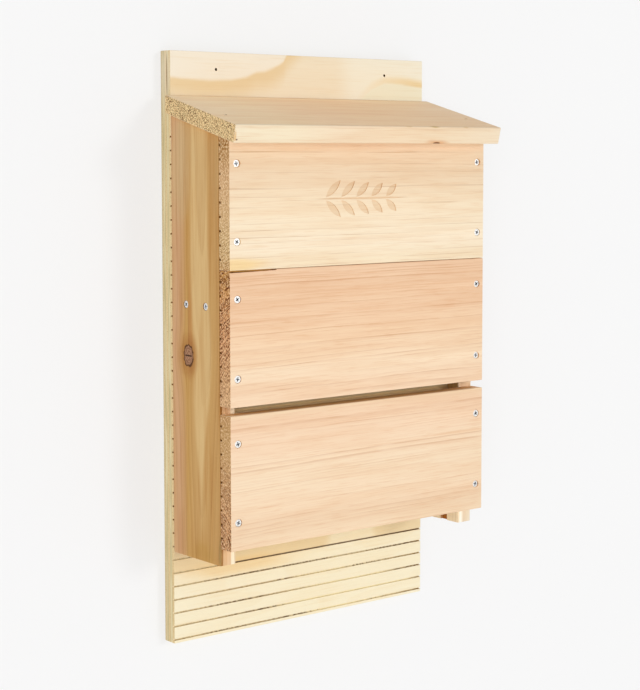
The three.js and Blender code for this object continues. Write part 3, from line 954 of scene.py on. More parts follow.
# %% The sawn end
def sawn_end(tree, point, across, count, end_grain, seed):
    colour = bands(tree, across, end_grain["tones"])
    strength = bands(tree, across, end_grain["strength"])
    curl = times(tree, drift(tree, point, (9, 3.4, 3.0), seed + 27), end_grain["curl"])
    ring = calc(tree, "FRACT", calc(tree, "MULTIPLY_ADD", count, end_grain["rings"], curl))
    arc = times(tree, rise(tree, ring, 0.2, 0.55), rise(tree, ring, 1.0, 0.8))
    broken = rise(tree, cloud(tree, point, (5, 3.2, 2.6), seed + 23), 0.34, 0.48)
    strong = times(tree, rise(tree, cloud(tree, point, (20, 12, 6), seed + 25), 0.3, 0.46), strength)
    arc = times(tree, arc, broken, strong, end_grain["arc_share"])
    colour = blend(tree, arc, colour, end_grain["dark"])
    pores = cloud(tree, point, end_grain["pore"], seed + 17, 2.0, 0.6)
    patchy = rise(tree, cloud(tree, point, (14, 9, 7), seed + 41), 0.36, 0.56)
    patchy = times(tree, calc(tree, "MULTIPLY_ADD", patchy, 0.5, 0.5),
                   calc(tree, "MULTIPLY_ADD", strength, 0.6, 0.4))
    holes = times(tree, rise(tree, pores, 0.525, 0.585), times(tree, patchy, end_grain["dark_share"]))
    colour = blend(tree, holes, colour, end_grain["dark"])
    flecks = times(tree, rise(tree, pores, 0.475, 0.405), end_grain["light_share"])
    return blend(tree, flecks, colour, end_grain["light"]), pores


# %% [markdown]
# Two small helpers come first. Bare wood shines a little and a saw cut doesn't, so the shine ends inside
# the cuts. A flat-sawn board can show a pointed arch of paler wood, where the cut ran out of a
# ring. It is drawn as a strip whose half width shrinks to nothing downwards.

# %% Shine, relief and a pointed arch
WOOD_SHINE = 0.1


def finish_wood(tree, surface, colour, cut, rough, relief):
    shine = calc(tree, "MULTIPLY_ADD", cut, -WOOD_SHINE, WOOD_SHINE)
    bump = add(tree, "Bump", {"Strength": 0.6, "Distance": 0.001, "Height": relief})
    for value, socket in ((colour, "Base Color"), (shine, "Specular IOR Level"), (rough, "Roughness"),
                          (bump, "Normal")):
        tree.links.new(value, surface.inputs[socket])


def pointed_arch(tree, along, zone, colour, vee):
    closing = rise(tree, along, vee["low"], vee["high"])
    half = calc(tree, "MULTIPLY_ADD", closing, vee["half"], -1.0)
    beside = calc(tree, "ABSOLUTE", minus(tree, zone, vee["middle"]))
    within = rise(tree, minus(tree, beside, half), 2.5, -2.5)
    return blend(tree, times(tree, within, vee["share"]), colour, vee["tone"])


# %% [markdown]
# A whole timber puts these together. Broad zones of tone lie across the board, a pointed arch of
# yellower wood or local patches may lie over them, then come the lines, the strokes of the fibre,
# the sawn end, the knots and the browned walls of the saw cuts. Each patch is given by its centre,
# its reach, its tone, its strength, and how ragged and how soft its rim is. One function with
# these dials serves every board, so a new board is a new set of numbers.

# %% Timber from growth rings
def softwood(name, turn, end_axis, grown, zones, lines, strokes, end_grain, sawn, seed,
             tints=(), knots=(), vee=None, along_tones=None, front_edge=None, rough=0.62):
    material, tree, surface = start_material(name)
    place = add(tree, "TexCoord", output=3)
    point = add(tree, "Mapping", {"Vector": place, "Rotation": turn, "Scale": (1000, 1000, 1000)})
    spot = split(tree, point)
    along, across, out = spot
    facing = split(tree, add(tree, "TexCoord", output=1))
    across, knot_shares = pull_round_knots(tree, along, across, knots)
    count = growth_rings(tree, point, (along, across, out), grown, seed)
    thin, soft = late_wood(tree, point, count, lines["thin"], seed)

    wavy = drift(tree, point, (160, 22, 22), seed + 3)
    zone = calc(tree, "MULTIPLY_ADD", wavy, grown["wave"], across)
    colour = bands(tree, zone, zones)
    if vee:
        colour = pointed_arch(tree, along, zone, colour, vee)
    if along_tones:
        colour = blend(tree, 1.0, colour, bands(tree, along, along_tones), "MULTIPLY")
    if front_edge:
        colour = blend(tree, rise(tree, facing[1], -0.5, -0.8), colour, bands(tree, out, front_edge))
    for number, (centre, reach, tone, strength, ragged, hard) in enumerate(tints):
        there = patch(tree, spot, centre, reach, seed + 30 + number, ragged, hard)
        colour = blend(tree, times(tree, there, strength), colour, tone)

    fine = cloud(tree, point, (34, 0.6, 0.6), seed + 5, 3.0)
    broad = cloud(tree, point, strokes["size"], seed + 7)
    bulk = cloud(tree, point, (120, 9, 9), seed + 8)
    for share, tone in (
            (times(tree, thin, lines["share"]), lines["tone"]),
            (times(tree, soft, lines["soft"]), lines["tone"]),
            (times(tree, rise(tree, broad, 0.53, 0.70), strokes["share"]), strokes["tone"]),
            (times(tree, rise(tree, fine, 0.5, 0.75), 0.3), strokes["tone"]),
            (times(tree, rise(tree, bulk, 0.42, 0.66), strokes["bulk"]), strokes["tone"])):
        colour = blend(tree, share, colour, tone, "MULTIPLY")

    end_share = rise(tree, calc(tree, "ABSOLUTE", facing[end_axis]), 0.55, 0.85)
    end_colour, pores = sawn_end(tree, point, across, count, end_grain, seed)
    colour = blend(tree, end_share, colour, end_colour)
    colour = paint_knots(tree, point, colour, knot_shares)

    cut = inside_box(tree, spot, sawn["low"], sawn["high"])
    cut_tone = sawn["tone"]
    if "pressed" in sawn:
        face = sawn["high"][2]
        cut_tone = blend(tree, rise(tree, out, face - 0.7, face - 1.3), sawn["pressed"], cut_tone)
    colour = blend(tree, cut, colour, cut_tone, "MULTIPLY")

    fibre = times(tree, plus(tree, fine, broad), 0.5)
    relief = plus(tree, times(tree, fibre, 0.12), times(tree, thin, -0.05),
                  times(tree, times(tree, pores, end_share), -0.5))
    finish_wood(tree, surface, colour, cut, calc(tree, "MULTIPLY_ADD", fibre, 0.3, rough - 0.12), relief)
    print(name, len(tree.nodes), "nodes")
    return material


# %% [markdown]
# The front boards are pale cream and pink with faint lines, the middle one the pinkest.
# Where a board's heart lay decides its figure. That of the upper board lay above and behind it, that of
# the middle one below and in front, and that of the lower one below and behind. So the ends
# of the three show arcs that slant in different ways.

# %% Front board timbers
TURN_ACROSS = (-math.pi / 2, 0, 0)
TURN_UP = (0, math.pi / 2, 0)
TURN_ROOF = (-ROOF_SLOPE, 0, 0)


def front_timber(name, level, grown, zones, lines, strokes, end_grain, seed, tints=()):
    low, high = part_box("front_" + level)
    sawn = {"low": (-152, low.z / MM + 1.0, -high.y / MM + 0.3),
            "high": (152, high.z / MM - 1.0, -low.y / MM - 0.3),
            "tone": paint(104, 56, 16), "pressed": paint(246, 239, 232)}
    return softwood(name, TURN_ACROSS, 0, grown, zones, lines, strokes, end_grain, sawn, seed, tints=tints)


front_face = -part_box("front_upper")[0].y / MM
print("front face at", round(front_face, 2), "mm")

# %% [markdown]
# The upper board is the calmest: cream at its foot, pinker under the roof, with few wide lines.
# Its topmost strip is painted lighter, as painted light against the shadow of the roof.
# A stain of yellow wood lies at its lower left, and a thin dark line of painted shade
# runs along its joint with the middle board.

# %% Upper front board
upper_timber = front_timber(
    "front_timber_upper", "upper",
    {"heart": (-20, 40), "lean": (0.003, 0.004), "ring": 5.2, "warp": 4.0, "wave": 6.0}, [
        (-182, 248, 230, 198), (-172, 248, 230, 200), (-160, 250, 233, 206),
        (-145, 249, 231, 202), (-120, 246, 225, 194), (-98, 239, 214, 182),
        # The last stops paint the top under the roof lighter: painted light against the roof's shadow.
        (-76, 237, 211, 179), (-71, 244, 216, 184), (-67, 251, 228, 198), (-58, 253, 236, 210),
    ],
    {"share": 0.75, "soft": 0.1, "thin": 0.16, "tone": paint(202, 172, 142)},
    {"size": (26, 1.7, 1.7), "share": 0.18, "bulk": 0.2, "tone": paint(236, 208, 176)},
    {"tones": [(-184, 228, 184, 130), (-160, 234, 200, 146), (-120, 228, 186, 136),
               (-95, 230, 186, 138), (-84, 214, 168, 116), (-60, 184, 142, 92)],
     "strength": [(-184, 255), (-150, 200), (-120, 150), (-90, 160), (-70, 255), (-60, 255)],
     "rings": 2.3, "curl": 0.8, "arc_share": 0.7, "dark": paint(146, 94, 30), "light": paint(252, 222, 176),
     "dark_share": 0.55, "light_share": 0.65, "pore": (4, 1.9, 1.7)},
    2.0, tints=[
        ((-150, -176, front_face), (50, 8, 30), paint(250, 222, 166), 0.85, 0.5, 0.3),
        # A thin dark line along the foot of the face is painted shade in the joint.
        ((20, -181, front_face), (150, 0.9, 30), paint(190, 150, 112), 0.4, 0.9, 0.4),
    ])

# %% [markdown]
# The middle board is the pinkest, with close faint lines and strong arcs on its end. The torn
# wood of the split at its upper left is bare and brown.

# %% Middle front board
middle_timber = front_timber(
    "front_timber_middle", "middle",
    {"heart": (-330, 175), "lean": (0.012, 0.004), "ring": 3.4, "warp": 7.0, "wave": 8.0}, [
        (-304, 248, 219, 187), (-290, 246, 216, 184), (-276, 249, 224, 193),
        (-262, 247, 218, 185), (-245, 245, 212, 177), (-225, 242, 206, 171),
        (-200, 242, 206, 171), (-180, 241, 205, 171),
    ],
    {"share": 0.5, "soft": 0.12, "thin": 0.3, "tone": paint(208, 164, 124)},
    {"size": (20, 1.5, 1.5), "share": 0.17, "bulk": 0.2, "tone": paint(232, 198, 164)},
    {"tones": [(-304, 230, 186, 138), (-275, 228, 176, 124), (-245, 230, 168, 118),
               (-215, 224, 162, 106), (-192, 214, 156, 88), (-181, 206, 150, 82)],
     "strength": [(-304, 170), (-275, 190), (-255, 230), (-230, 255), (-190, 255), (-181, 255)],
     "rings": 1.5, "curl": 1.1, "arc_share": 1.0, "dark": paint(106, 48, 4), "light": paint(252, 208, 158),
     "dark_share": 0.75, "light_share": 0.75, "pore": (4, 2.0, 1.5)},
    31.0, tints=[
        ((-128, -181.8, front_face - 3), (32, 2.6, 2.7), paint(206, 156, 80), 0.95, 0.4, 0.6),
        ((-104, -182, front_face - 2), (3.4, 1.6, 2), paint(150, 90, 40), 0.9, 0.4, 0.5),
    ])

# %% [markdown]
# The lower board is cream again, palest at half height. The arcs on its end fade upwards.
# Its top face, which the slot shows, is painted a yellower brown as painted shade under the middle board, and
# its top arris is a painted highlight.

# %% Lower front board
lower_timber = front_timber(
    "front_timber_lower", "lower",
    {"heart": (-490, 26), "lean": (0.01, 0.003), "ring": 3.1, "warp": 6.0, "wave": 8.0}, [
        (-434, 246, 220, 187), (-422, 242, 214, 181), (-412, 241, 211, 178),
        (-402, 246, 219, 187), (-372, 247, 223, 192), (-340, 247, 218, 187),
        # The last stop, lighter at the top arris, is a painted highlight.
        (-322, 245, 213, 181), (-314, 243, 211, 177), (-309, 246, 222, 184),
    ],
    {"share": 0.4, "soft": 0.1, "thin": 0.3, "tone": paint(208, 164, 122)},
    {"size": (22, 1.5, 1.5), "share": 0.17, "bulk": 0.15, "tone": paint(234, 198, 162)},
    {"tones": [(-433, 228, 172, 122), (-400, 220, 166, 116), (-365, 212, 164, 112),
               (-345, 208, 164, 110), (-325, 204, 160, 104), (-310, 206, 158, 106)],
     "strength": [(-433, 255), (-395, 225), (-375, 190), (-358, 150), (-348, 60), (-325, 80), (-310, 90)],
     "rings": 1.15, "curl": 0.35, "arc_share": 1.0, "dark": paint(108, 54, 6), "light": paint(250, 214, 168),
     "dark_share": 0.5, "light_share": 0.6, "pore": (4, 1.8, 1.6)},
    57.0, tints=[
        ((120, -352, front_face), (60, 2.2, 30), paint(236, 194, 152), 0.5, 0.5, 0.3),
        # The top face, seen in the slot, is painted a darker yellow brown: painted shade.
        ((0, -310, front_face - 9), (200, 2, 8.6), paint(216, 168, 104), 0.8, 0.2, 0.8),
    ])

# %% [markdown]
# The side boards stand with broad bands of colour: pink by the back, golden brown, a pale yellow
# middle that closes downwards in a pointed arch, and brown-tan by the front. The left one has a knot.
# Their narrow front edges are paler, with a cream strip along the inner arris.

# %% Side board timber
side_zones = [
    (-93, 208, 163, 102), (-84, 210, 164, 102), (-76, 212, 167, 104),
    (-60, 216, 175, 115), (-48, 214, 170, 107), (-41, 210, 164, 96),
    (-35, 214, 168, 116), (-27, 220, 174, 130), (-15, 222, 178, 128),
]


def side_timber(name, side, knots, front_edge, seed, tints=()):
    low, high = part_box("left_side" if side < 0 else "right_side")
    out_low, out_high = sorted((-low.x / MM, -high.x / MM))
    sawn = {"low": (low.z / MM - 5, low.y / MM + 0.5, out_low + 0.4),
            "high": (high.z / MM - 20, high.y / MM - 0.5, out_high - 0.4), "tone": paint(200, 160, 122)}
    return softwood(
        name, TURN_UP, 2,
        {"heart": (-64, out_high - 14 if side < 0 else out_low + 14), "lean": (0.0, 0.03), "ring": 3.4,
         "warp": 3.5, "wave": 5.0}, side_zones,
        {"share": 0.28, "soft": 0.22, "thin": 0.3, "tone": paint(190, 148, 100)},
        {"size": (50, 1.6, 1.6), "share": 0.22, "bulk": 0.3, "tone": paint(228, 198, 160)},
        {"tones": [(-93, 222, 180, 130), (-15, 222, 180, 130)], "strength": [(-93, 255), (-15, 255)],
         "rings": 1.0, "curl": 0.5, "arc_share": 0.5, "dark": paint(140, 96, 56),
         "light": paint(240, 214, 176), "dark_share": 0.5, "light_share": 0.5, "pore": (4, 1.5, 1.3)},
        sawn, seed, tints=tints, knots=knots, front_edge=front_edge,
        vee={"middle": -61, "half": 13.5, "low": -425, "high": -270, "share": 0.8,
             "tone": paint(232, 197, 139)})


# %% [markdown]
# The left board is the one in full view, with its knot a little below half height, streaks of brown
# above it and a paler patch under the roof. A thin dark strip of painted shade runs down its front edge,
# along the outer arris, and a darker wedge of painted shade lies at the foot of that edge.

# %% Left side board
left_timber = side_timber("side_timber_left", -1, [(-261.8, -42.9, 10.2, 7.6)], [
    (135.5, 252, 240, 212), (140.6, 252, 240, 212), (141.4, 234, 200, 160),
    # The last two stops are the thin dark strip along the outer arris: painted shade.
    (149.6, 230, 194, 150), (150.2, 166, 118, 62), (152.6, 160, 112, 54)], 4.0, tints=[
        ((-80, -34, 152), (80, 25, 30), paint(220, 187, 138), 0.85, 0.8, 0.2),
        ((-235, -46, 152), (62, 5.5, 30), paint(206, 150, 90), 0.5, 0.8, 0.2),
        ((-88, -86, 152), (50, 14, 30), paint(210, 170, 114), 0.6, 0.6, 0.3),
        ((-130, -52, 152), (60, 3, 30), paint(232, 194, 134), 0.5, 0.8, 0.2),
        ((-442, -64, 152), (22, 24, 30), paint(206, 162, 86), 0.6, 0.8, 0.2),
        # A darker wedge at the foot of the front edge is painted shade.
        ((-438, -92.5, 153.5), (22, 4, 3.4), paint(170, 136, 84), 0.8, 0.5, 0.5),
    ])

# %% [markdown]
# Of the right board only the inner face and the front edge show, in the slot and under the front
# boards. They are painted nearly cream: pale sapwood, with painted light for the light they catch from the
# wall.

# %% Right side board
right_timber = side_timber("side_timber_right", 1, [], [
    # These near-cream tones are pale sapwood and painted light from the wall.
    (-152.6, 248, 240, 222), (-149.5, 246, 236, 214), (-148.5, 244, 232, 208),
    (-141, 246, 234, 212), (-140.2, 255, 250, 236), (-135.5, 255, 250, 236)], 23.0, tints=[
        ((-300, -92.5, -144), (60, 4, 12), paint(244, 217, 182), 0.9, 0.4, 0.6),
        ((-430, -88, -136), (50, 60, 3), paint(252, 234, 202), 1.0, 0.6, 0.4),
    ])

# %% [markdown]
# The roof is the plainest board: a smooth top, a pale front edge with a small knot at its lower
# arris, and coarse speckled end grain. A thin dark line along the back edge of its top, where it meets the
# back, is painted shade.

# %% Roof timber
roof_across_low = (roof_front_top.y * math.cos(ROOF_SLOPE) + roof_front_top.z * math.sin(ROOF_SLOPE)) / MM
roof_top_out = (roof_front_top.z * math.cos(ROOF_SLOPE) - roof_front_top.y * math.sin(ROOF_SLOPE)) / MM
roof_timber = softwood(
    "roof_timber", TURN_ROOF, 0,
    {"heart": (roof_across_low - 60, roof_top_out + 120), "lean": (0.004, 0.004), "ring": 4.5, "warp": 6.0,
     "wave": 4.0}, [
        (roof_across_low - 1, 243, 228, 199), (roof_across_low + 2, 243, 228, 199),
        (roof_across_low + 3.5, 255, 231, 194), (roof_across_low + 60, 255, 230, 194),
        # The last two stops darken the back edge of the top: painted shade where the roof meets the back.
        (roof_across_low + 112, 255, 233, 198), (roof_across_low + 113.5, 226, 196, 156),
        (roof_across_low + 116, 206, 174, 132),
    ],
    {"share": 0.25, "soft": 0.08, "thin": 0.2, "tone": paint(206, 164, 124)},
    {"size": (40, 1.7, 1.7), "share": 0.2, "bulk": 0.18, "tone": paint(236, 206, 172)},
    {"tones": [(roof_across_low, 246, 208, 151), (roof_across_low + 120, 246, 208, 151)],
     "strength": [(roof_across_low, 255), (roof_across_low + 120, 255)],
     "rings": 1.0, "curl": 0.6, "arc_share": 0.3, "dark": paint(92, 48, 0), "light": paint(255, 232, 176),
     "dark_share": 1.0, "light_share": 0.95, "pore": (2.6, 1.35, 1.15)},
    {"low": (-158, roof_across_low + 1, roof_top_out - 16),
     "high": (158, roof_across_low + 110, roof_top_out - 0.4), "tone": paint(160, 120, 84)}, 71.0,
    along_tones=[(-158, 255), (-100, 255, 254, 252), (-40, 254, 246, 243), (20, 254, 244, 238),
                 (100, 253, 246, 242), (158, 252, 248, 248)],
    tints=[
        ((77, roof_across_low, roof_top_out - 16), (20, 3, 5), paint(224, 172, 124), 0.8, 0.6, 0.2),
        ((77, roof_across_low, roof_top_out - 16), (5.5, 2.5, 1.5), paint(120, 74, 44), 0.95, 0.4, 0.6),
        ((72, roof_across_low + 1, roof_top_out), (9, 3, 1.6), paint(206, 176, 118), 0.8, 0.7, 0.3),
        ((-155.5, roof_across_low, roof_top_out - 13.5), (1.4, 3, 0.9), paint(110, 72, 44), 0.9, 0.3, 0.5),
        ((-157.5, roof_across_low, roof_top_out - 11), (1.8, 3, 6), paint(226, 186, 128), 0.8, 1.2, 0.3),
        ((40, roof_across_low + 0.5, roof_top_out), (6, 2, 1.2), paint(222, 190, 140), 0.7, 0.7, 0.3),
        ((112, roof_across_low + 0.5, roof_top_out), (5, 2, 1.2), paint(222, 190, 140), 0.7, 0.7, 0.3),
    ])

# %% [markdown]
# The baffles are the same softwood, pale and rough from the saw. Through the slot only a strip of the
# front one shows, so its tones follow the height of that strip, and they are painted near white, as painted
# light in the dim slot.

# %% Baffle timber
baffle_timber = softwood(
    "baffle_timber", TURN_ACROSS, 0,
    {"heart": (-700, 40), "lean": (0.01, 0.0), "ring": 5.0, "warp": 6.0, "wave": 8.0}, [
        # These near-white tones are painted light for the dim slot.
        (-440, 252, 228, 176), (-318, 252, 216, 156), (-301, 255, 238, 194),
        (-60, 252, 230, 180),
    ],
    {"share": 0.15, "soft": 0.06, "thin": 0.3, "tone": paint(200, 158, 110)},
    {"size": (20, 1.6, 1.6), "share": 0.15, "bulk": 0.12, "tone": paint(232, 206, 168)},
    {"tones": [(-440, 206, 166, 118), (-60, 206, 166, 118)], "strength": [(-440, 255), (-60, 255)],
     "rings": 1.0, "curl": 0.5, "arc_share": 0.4, "dark": paint(130, 90, 54), "light": paint(230, 200, 160),
     "dark_share": 0.5, "light_share": 0.5, "pore": (4, 1.6, 1.4)},
    {"low": (-139, -600, 34.6), "high": (139, 0, 34.7), "tone": paint(200, 160, 120)}, 11.0, rough=0.75)


# %% [markdown]
# ## Plywood
#
# The face of plywood is one long sheet peeled from a turning log. The knife runs in and out
# of the growth rings, so the figure is wide flames and arches, not straight grain. The flame and
# the arch above the roof are drawn as two curves, and the tone fades away from each.
# The edge shows five plies, by turns end grain and long grain.

# %% The flame, the arch, and the lines of a peeled sheet
FLAME = [(-153, -9), (-108, -10.2), (-84, -9), (-68, -6.5), (-56, -1.5), (-46, -0.4), (-36, 2.8), (-29, 6.4),
         (-24, 10), (-20, 17), (0, 34), (153, 60)]
ARCH = [(-153, -60), (55, -46), (71, -24), (85, -13), (102, -7), (125, -7.4), (153, -10)]


def contours(tree, point, across, hill_size, shift, hill_height, spacing, darkens, ends):
    hills = times(tree, cloud(tree, point, hill_size, shift), hill_height)
    share = calc(tree, "FRACT", plus(tree, hills, calc(tree, "DIVIDE", across, spacing)))
    return times(tree, rise(tree, share, *darkens), rise(tree, share, 1.0, ends))


# %% [markdown]
# The bare strip above the roof is cream, with the honey flame at its left and the arch at
# its right. Just under the front boards the landing is painted a darker tan, as painted shade from the
# boards, most of all at its left, and below that it is cream with faint contour lines. The back is plain
# veneer with lines of its own.

# %% The two face veneers
def veneer_colour(tree, point, spot):
    along, across, out = spot
    waver = times(tree, drift(tree, point, (34, 16, 60), 2.0), 3.0)
    level = plus(tree, across, waver)
    below_flame = minus(tree, height_over(tree, along, FLAME), level)
    below_arch = minus(tree, height_over(tree, along, ARCH), level)
    flame = blend(tree, rise(tree, below_flame, 3.0, 26.0), paint(237, 210, 165), paint(244, 228, 199))
    colour = blend(tree, rise(tree, below_flame, -2.5, 2.5), paint(247, 235, 214), flame)
    by_arch = blend(tree, rise(tree, below_arch, -2.0, 4.0), paint(247, 237, 214), paint(243, 234, 206))
    colour = blend(tree, rise(tree, along, 36.0, 66.0), colour, by_arch)
    near_arch = times(tree, rise(tree, below_arch, -9.0, -2.0), rise(tree, below_arch, 2.5, -0.5),
                      rise(tree, along, 50.0, 150.0), 0.9)
    colour = blend(tree, near_arch, colour, paint(241, 213, 160))

    contour = contours(tree, point, across, (420, 60, 400), 5.3, 11.0, 60.0, (0.15, 0.85), 0.93)
    landing = blend(tree, times(tree, contour, 0.3), paint(247, 236, 205), paint(244, 227, 189))
    wavy = calc(tree, "MULTIPLY_ADD", waver, 5.0, along)
    # The tan just under the front boards, and the warm patch below it, are painted shade from the boards.
    tan = calc(tree, "MAXIMUM", times(tree, rise(tree, wavy, 40.0, 22.0), 0.95), 0.35)
    tan = calc(tree, "MAXIMUM", tan, times(tree, rise(tree, wavy, 76.0, 94.0), 0.8))
    tan = times(tree, tan, rise(tree, level, -472.0, -467.5))
    landing = blend(tree, tan, landing, paint(234, 209, 163))
    there = patch(tree, spot, (-80, -473, 16), (100, 12, 8), 4.0, 0.6, 0.3)
    landing = blend(tree, times(tree, there, 0.6), landing, paint(240, 203, 140))
    colour = blend(tree, rise(tree, across, -60.0, -90.0), colour, landing)

    contour = contours(tree, point, across, (300, 46, 400), 19.0, 9.0, 45.0, (0.1, 0.88), 0.94)
    back_veneer = blend(tree, times(tree, contour, 0.5), paint(247, 232, 198), paint(230, 200, 152))
    return blend(tree, rise(tree, out, 11.0, 5.0), colour, back_veneer)


# %% [markdown]
# Seen from the edge, every second ply shows end grain with fine pores and the others long
# grain, with a thin glue line between them. One ply has a dark gap near the top of the left
# edge, and the back ply is greyer.

# %% The edge of the plies
def edge_colour_of(tree, point, spot):
    out = spot[2]
    wobble = times(tree, drift(tree, point, (30, 30, 30), 2.0), 1.2)
    ply = calc(tree, "DIVIDE", plus(tree, out, wobble), 3.2)
    streaks = cloud(tree, point, (0.9, 45, 0.9), 3.0, 3.0)
    pores = cloud(tree, point, (1.2, 1.3, 1.3), 6.0, 2.0, 0.65)
    end_ply = blend(tree, times(tree, rise(tree, pores, 0.5, 0.66), 0.45), paint(238, 212, 160),
                    paint(196, 158, 98))
    long_ply = blend(tree, rise(tree, streaks, 0.42, 0.6), paint(243, 226, 181), paint(214, 194, 143))
    colour = blend(tree, calc(tree, "PINGPONG", calc(tree, "FLOOR", ply), 1.0), end_ply, long_ply)
    glue = calc(tree, "FRACT", ply)
    glue = calc(tree, "MAXIMUM", rise(tree, glue, 0.1, 0.03), rise(tree, glue, 0.9, 0.97))
    bright = patch(tree, spot, (-152.5, -4, 8), (60, 40, 14), 15.0, 0.4, 0.2)
    gap = patch(tree, spot, (-152.5, -6, 10.4), (60, 26, 0.95), 9.0, 0.5, 0.5)
    for share, strength, tone in (
            (glue, 0.3, paint(176, 146, 96)),
            (rise(tree, streaks, 0.55, 0.7), 0.4, paint(190, 178, 132)),
            (bright, 0.45, paint(252, 238, 212)),
            (gap, 0.9, paint(150, 104, 52)),
            (rise(tree, out, 2.4, 1.0), 0.5, paint(196, 190, 158))):
        colour = blend(tree, times(tree, share, strength), colour, tone)
    return colour, pores


# %% [markdown]
# The saw browned the walls of its cuts, least in the middle of the landing, and the line breaks
# into dark dashes where the veneer tore. Behind the front boards the cuts are evenly brown,
# and the walls of the two hanging holes are painted nearly black, as painted shade deep in the holes.

# %% The colour inside the saw cuts, and painted shade in the hanging holes
def cut_burn_and_hole_shade(tree, point, spot):
    along, across, out = spot
    dashes = cloud(tree, point, (1.8, 2.0, 6), 40.0)
    reaches = cloud(tree, point, (60, 16, 30), 44.0)
    faint = patch(tree, spot, (62, -520, 15), (108, 19, 8), 13.0, 0.3, 0.6)
    burn = bands(tree, along, [(-152, 170), (-105, 162), (-70, 176), (-50, 184), (-30, 160), (20, 116),
                               (60, 100), (100, 150), (152, 225)])
    burn = calc(tree, "ADD", burn, times(tree, minus(tree, dashes, 0.5), 1.0), clamp=True)
    burn = times(tree, burn, calc(tree, "MULTIPLY_ADD", faint, -0.85, 1.0))
    burnt = blend(tree, burn, paint(254, 243, 208), paint(176, 138, 72))
    dotted = times(tree, rise(tree, dashes, 0.47, 0.55), rise(tree, reaches, 0.44, 0.58),
                   calc(tree, "MULTIPLY_ADD", faint, -1.0, 1.0), rise(tree, along, -130.0, -95.0), 0.65)
    upper_cuts = times(tree, rise(tree, across, -490.0, -465.0), rise(tree, along, -110.0, -85.0), 0.75)
    burnt = blend(tree, calc(tree, "MAXIMUM", dotted, upper_cuts), burnt, paint(104, 56, 2))
    burnt = blend(tree, rise(tree, across, -445.0, -440.0), burnt, paint(176, 128, 70))
    # The hanging holes near the top are painted nearly black: painted shade.
    return blend(tree, rise(tree, across, -30.0, -26.0), burnt, paint(64, 42, 26))


# %% [markdown]
# The finish puts the three together: the face veneers, the edge wherever a face looks sideways,
# up or down, and the browned cuts inside the box that the saw reached, with painted shade in the hanging
# holes.

# %% Plywood
def plywood(name):
    material, tree, surface = start_material(name)
    place = add(tree, "TexCoord", output=3)
    facing = split(tree, add(tree, "TexCoord", output=1))
    point = add(tree, "Mapping", {"Vector": place, "Rotation": TURN_ACROSS, "Scale": (1000, 1000, 1000)})
    spot = split(tree, point)
    fibre = times(tree, plus(tree, cloud(tree, point, (40, 0.9, 0.9), 8.0, 3.0),
                             cloud(tree, point, (60, 3, 3), 12.0, 3.0)), 0.5)
    colour = blend(tree, times(tree, rise(tree, fibre, 0.48, 0.72), 0.24), veneer_colour(tree, point, spot),
                   paint(240, 218, 178), "MULTIPLY")
    edge = calc(tree, "MAXIMUM", calc(tree, "ABSOLUTE", facing[0]), calc(tree, "ABSOLUTE", facing[2]))
    edge = rise(tree, edge, 0.55, 0.85)
    edge_colour, pores = edge_colour_of(tree, point, spot)
    colour = blend(tree, edge, colour, edge_colour)
    cut = inside_box(tree, spot, (-151.9, back_low.z / MM + 0.7, 0.4), (151.9, 15.4, 15.75))
    colour = blend(tree, cut, colour, cut_burn_and_hole_shade(tree, point, spot))
    relief = plus(tree, times(tree, fibre, 0.08), times(tree, times(tree, pores, edge), -0.4))
    finish_wood(tree, surface, colour, cut, calc(tree, "MULTIPLY_ADD", fibre, 0.25, 0.5), relief)
    print(name, len(tree.nodes), "nodes")
    return material


plywood_finish = plywood("plywood")


# %% [markdown]
# ## Metal
#
# Zinc plate is bright and a little cloudy, with fine scratches. The nails are dull drawn steel.
# One flat grey would look like plastic, so both have their colour and roughness broken up by noise.

# %% Zinc and steel
def metal(name, bright, dull, shade, low_rough, high_rough):
    material, tree, surface = start_material(name)
    place = add(tree, "TexCoord", output=3)
    point = add(tree, "Mapping", {"Vector": place, "Scale": (1000, 1000, 1000)})
    mottle = cloud(tree, point, (0.9, 0.9, 0.9), 1.0, 3.0)
    scratch = cloud(tree, point, (0.15, 1.5, 0.15), 4.0, 2.0)
    colour = blend(tree, rise(tree, mottle, 0.4, 0.65), bright, dull)
    # Faces marked as recess take the darker tone: painted shade, with some dirt.
    recess = add(tree, "Attribute", output=2, attribute_name="recess")
    colour = blend(tree, recess, colour, shade)
    tree.links.new(colour, surface.inputs["Base Color"])
    rough = calc(tree, "MULTIPLY_ADD", mottle, high_rough - low_rough, low_rough)
    tree.links.new(rough, surface.inputs["Roughness"])
    relief = times(tree, scratch, 0.05)
    bump = add(tree, "Bump", {"Strength": 0.3, "Distance": 0.001, "Height": relief})
    tree.links.new(bump, surface.inputs["Normal"])
    surface.inputs["Metallic"].default_value = 1.0
    print(name, len(tree.nodes), "nodes")
    return material


zinc = metal("zinc", paint(242, 241, 238), paint(208, 208, 206), paint(130, 136, 146), 0.25, 0.5)
steel = metal("nail_steel", paint(176, 172, 162), paint(132, 128, 120), paint(90, 86, 80), 0.35, 0.6)


# %% [markdown]
# ## Hand the pieces over
#
# Each piece gets its finish, rides on the one body that the box has, and stands for its solid.

# %% Finish, ride and replace
def hand_over(piece, node, finish, shade_angle=30):
    piece.data.materials.clear()
    piece.data.materials.append(finish)
    select_only(piece)
    bpy.ops.object.shade_smooth_by_angle(angle=math.radians(shade_angle))
    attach(piece, "root")
    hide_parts(node)


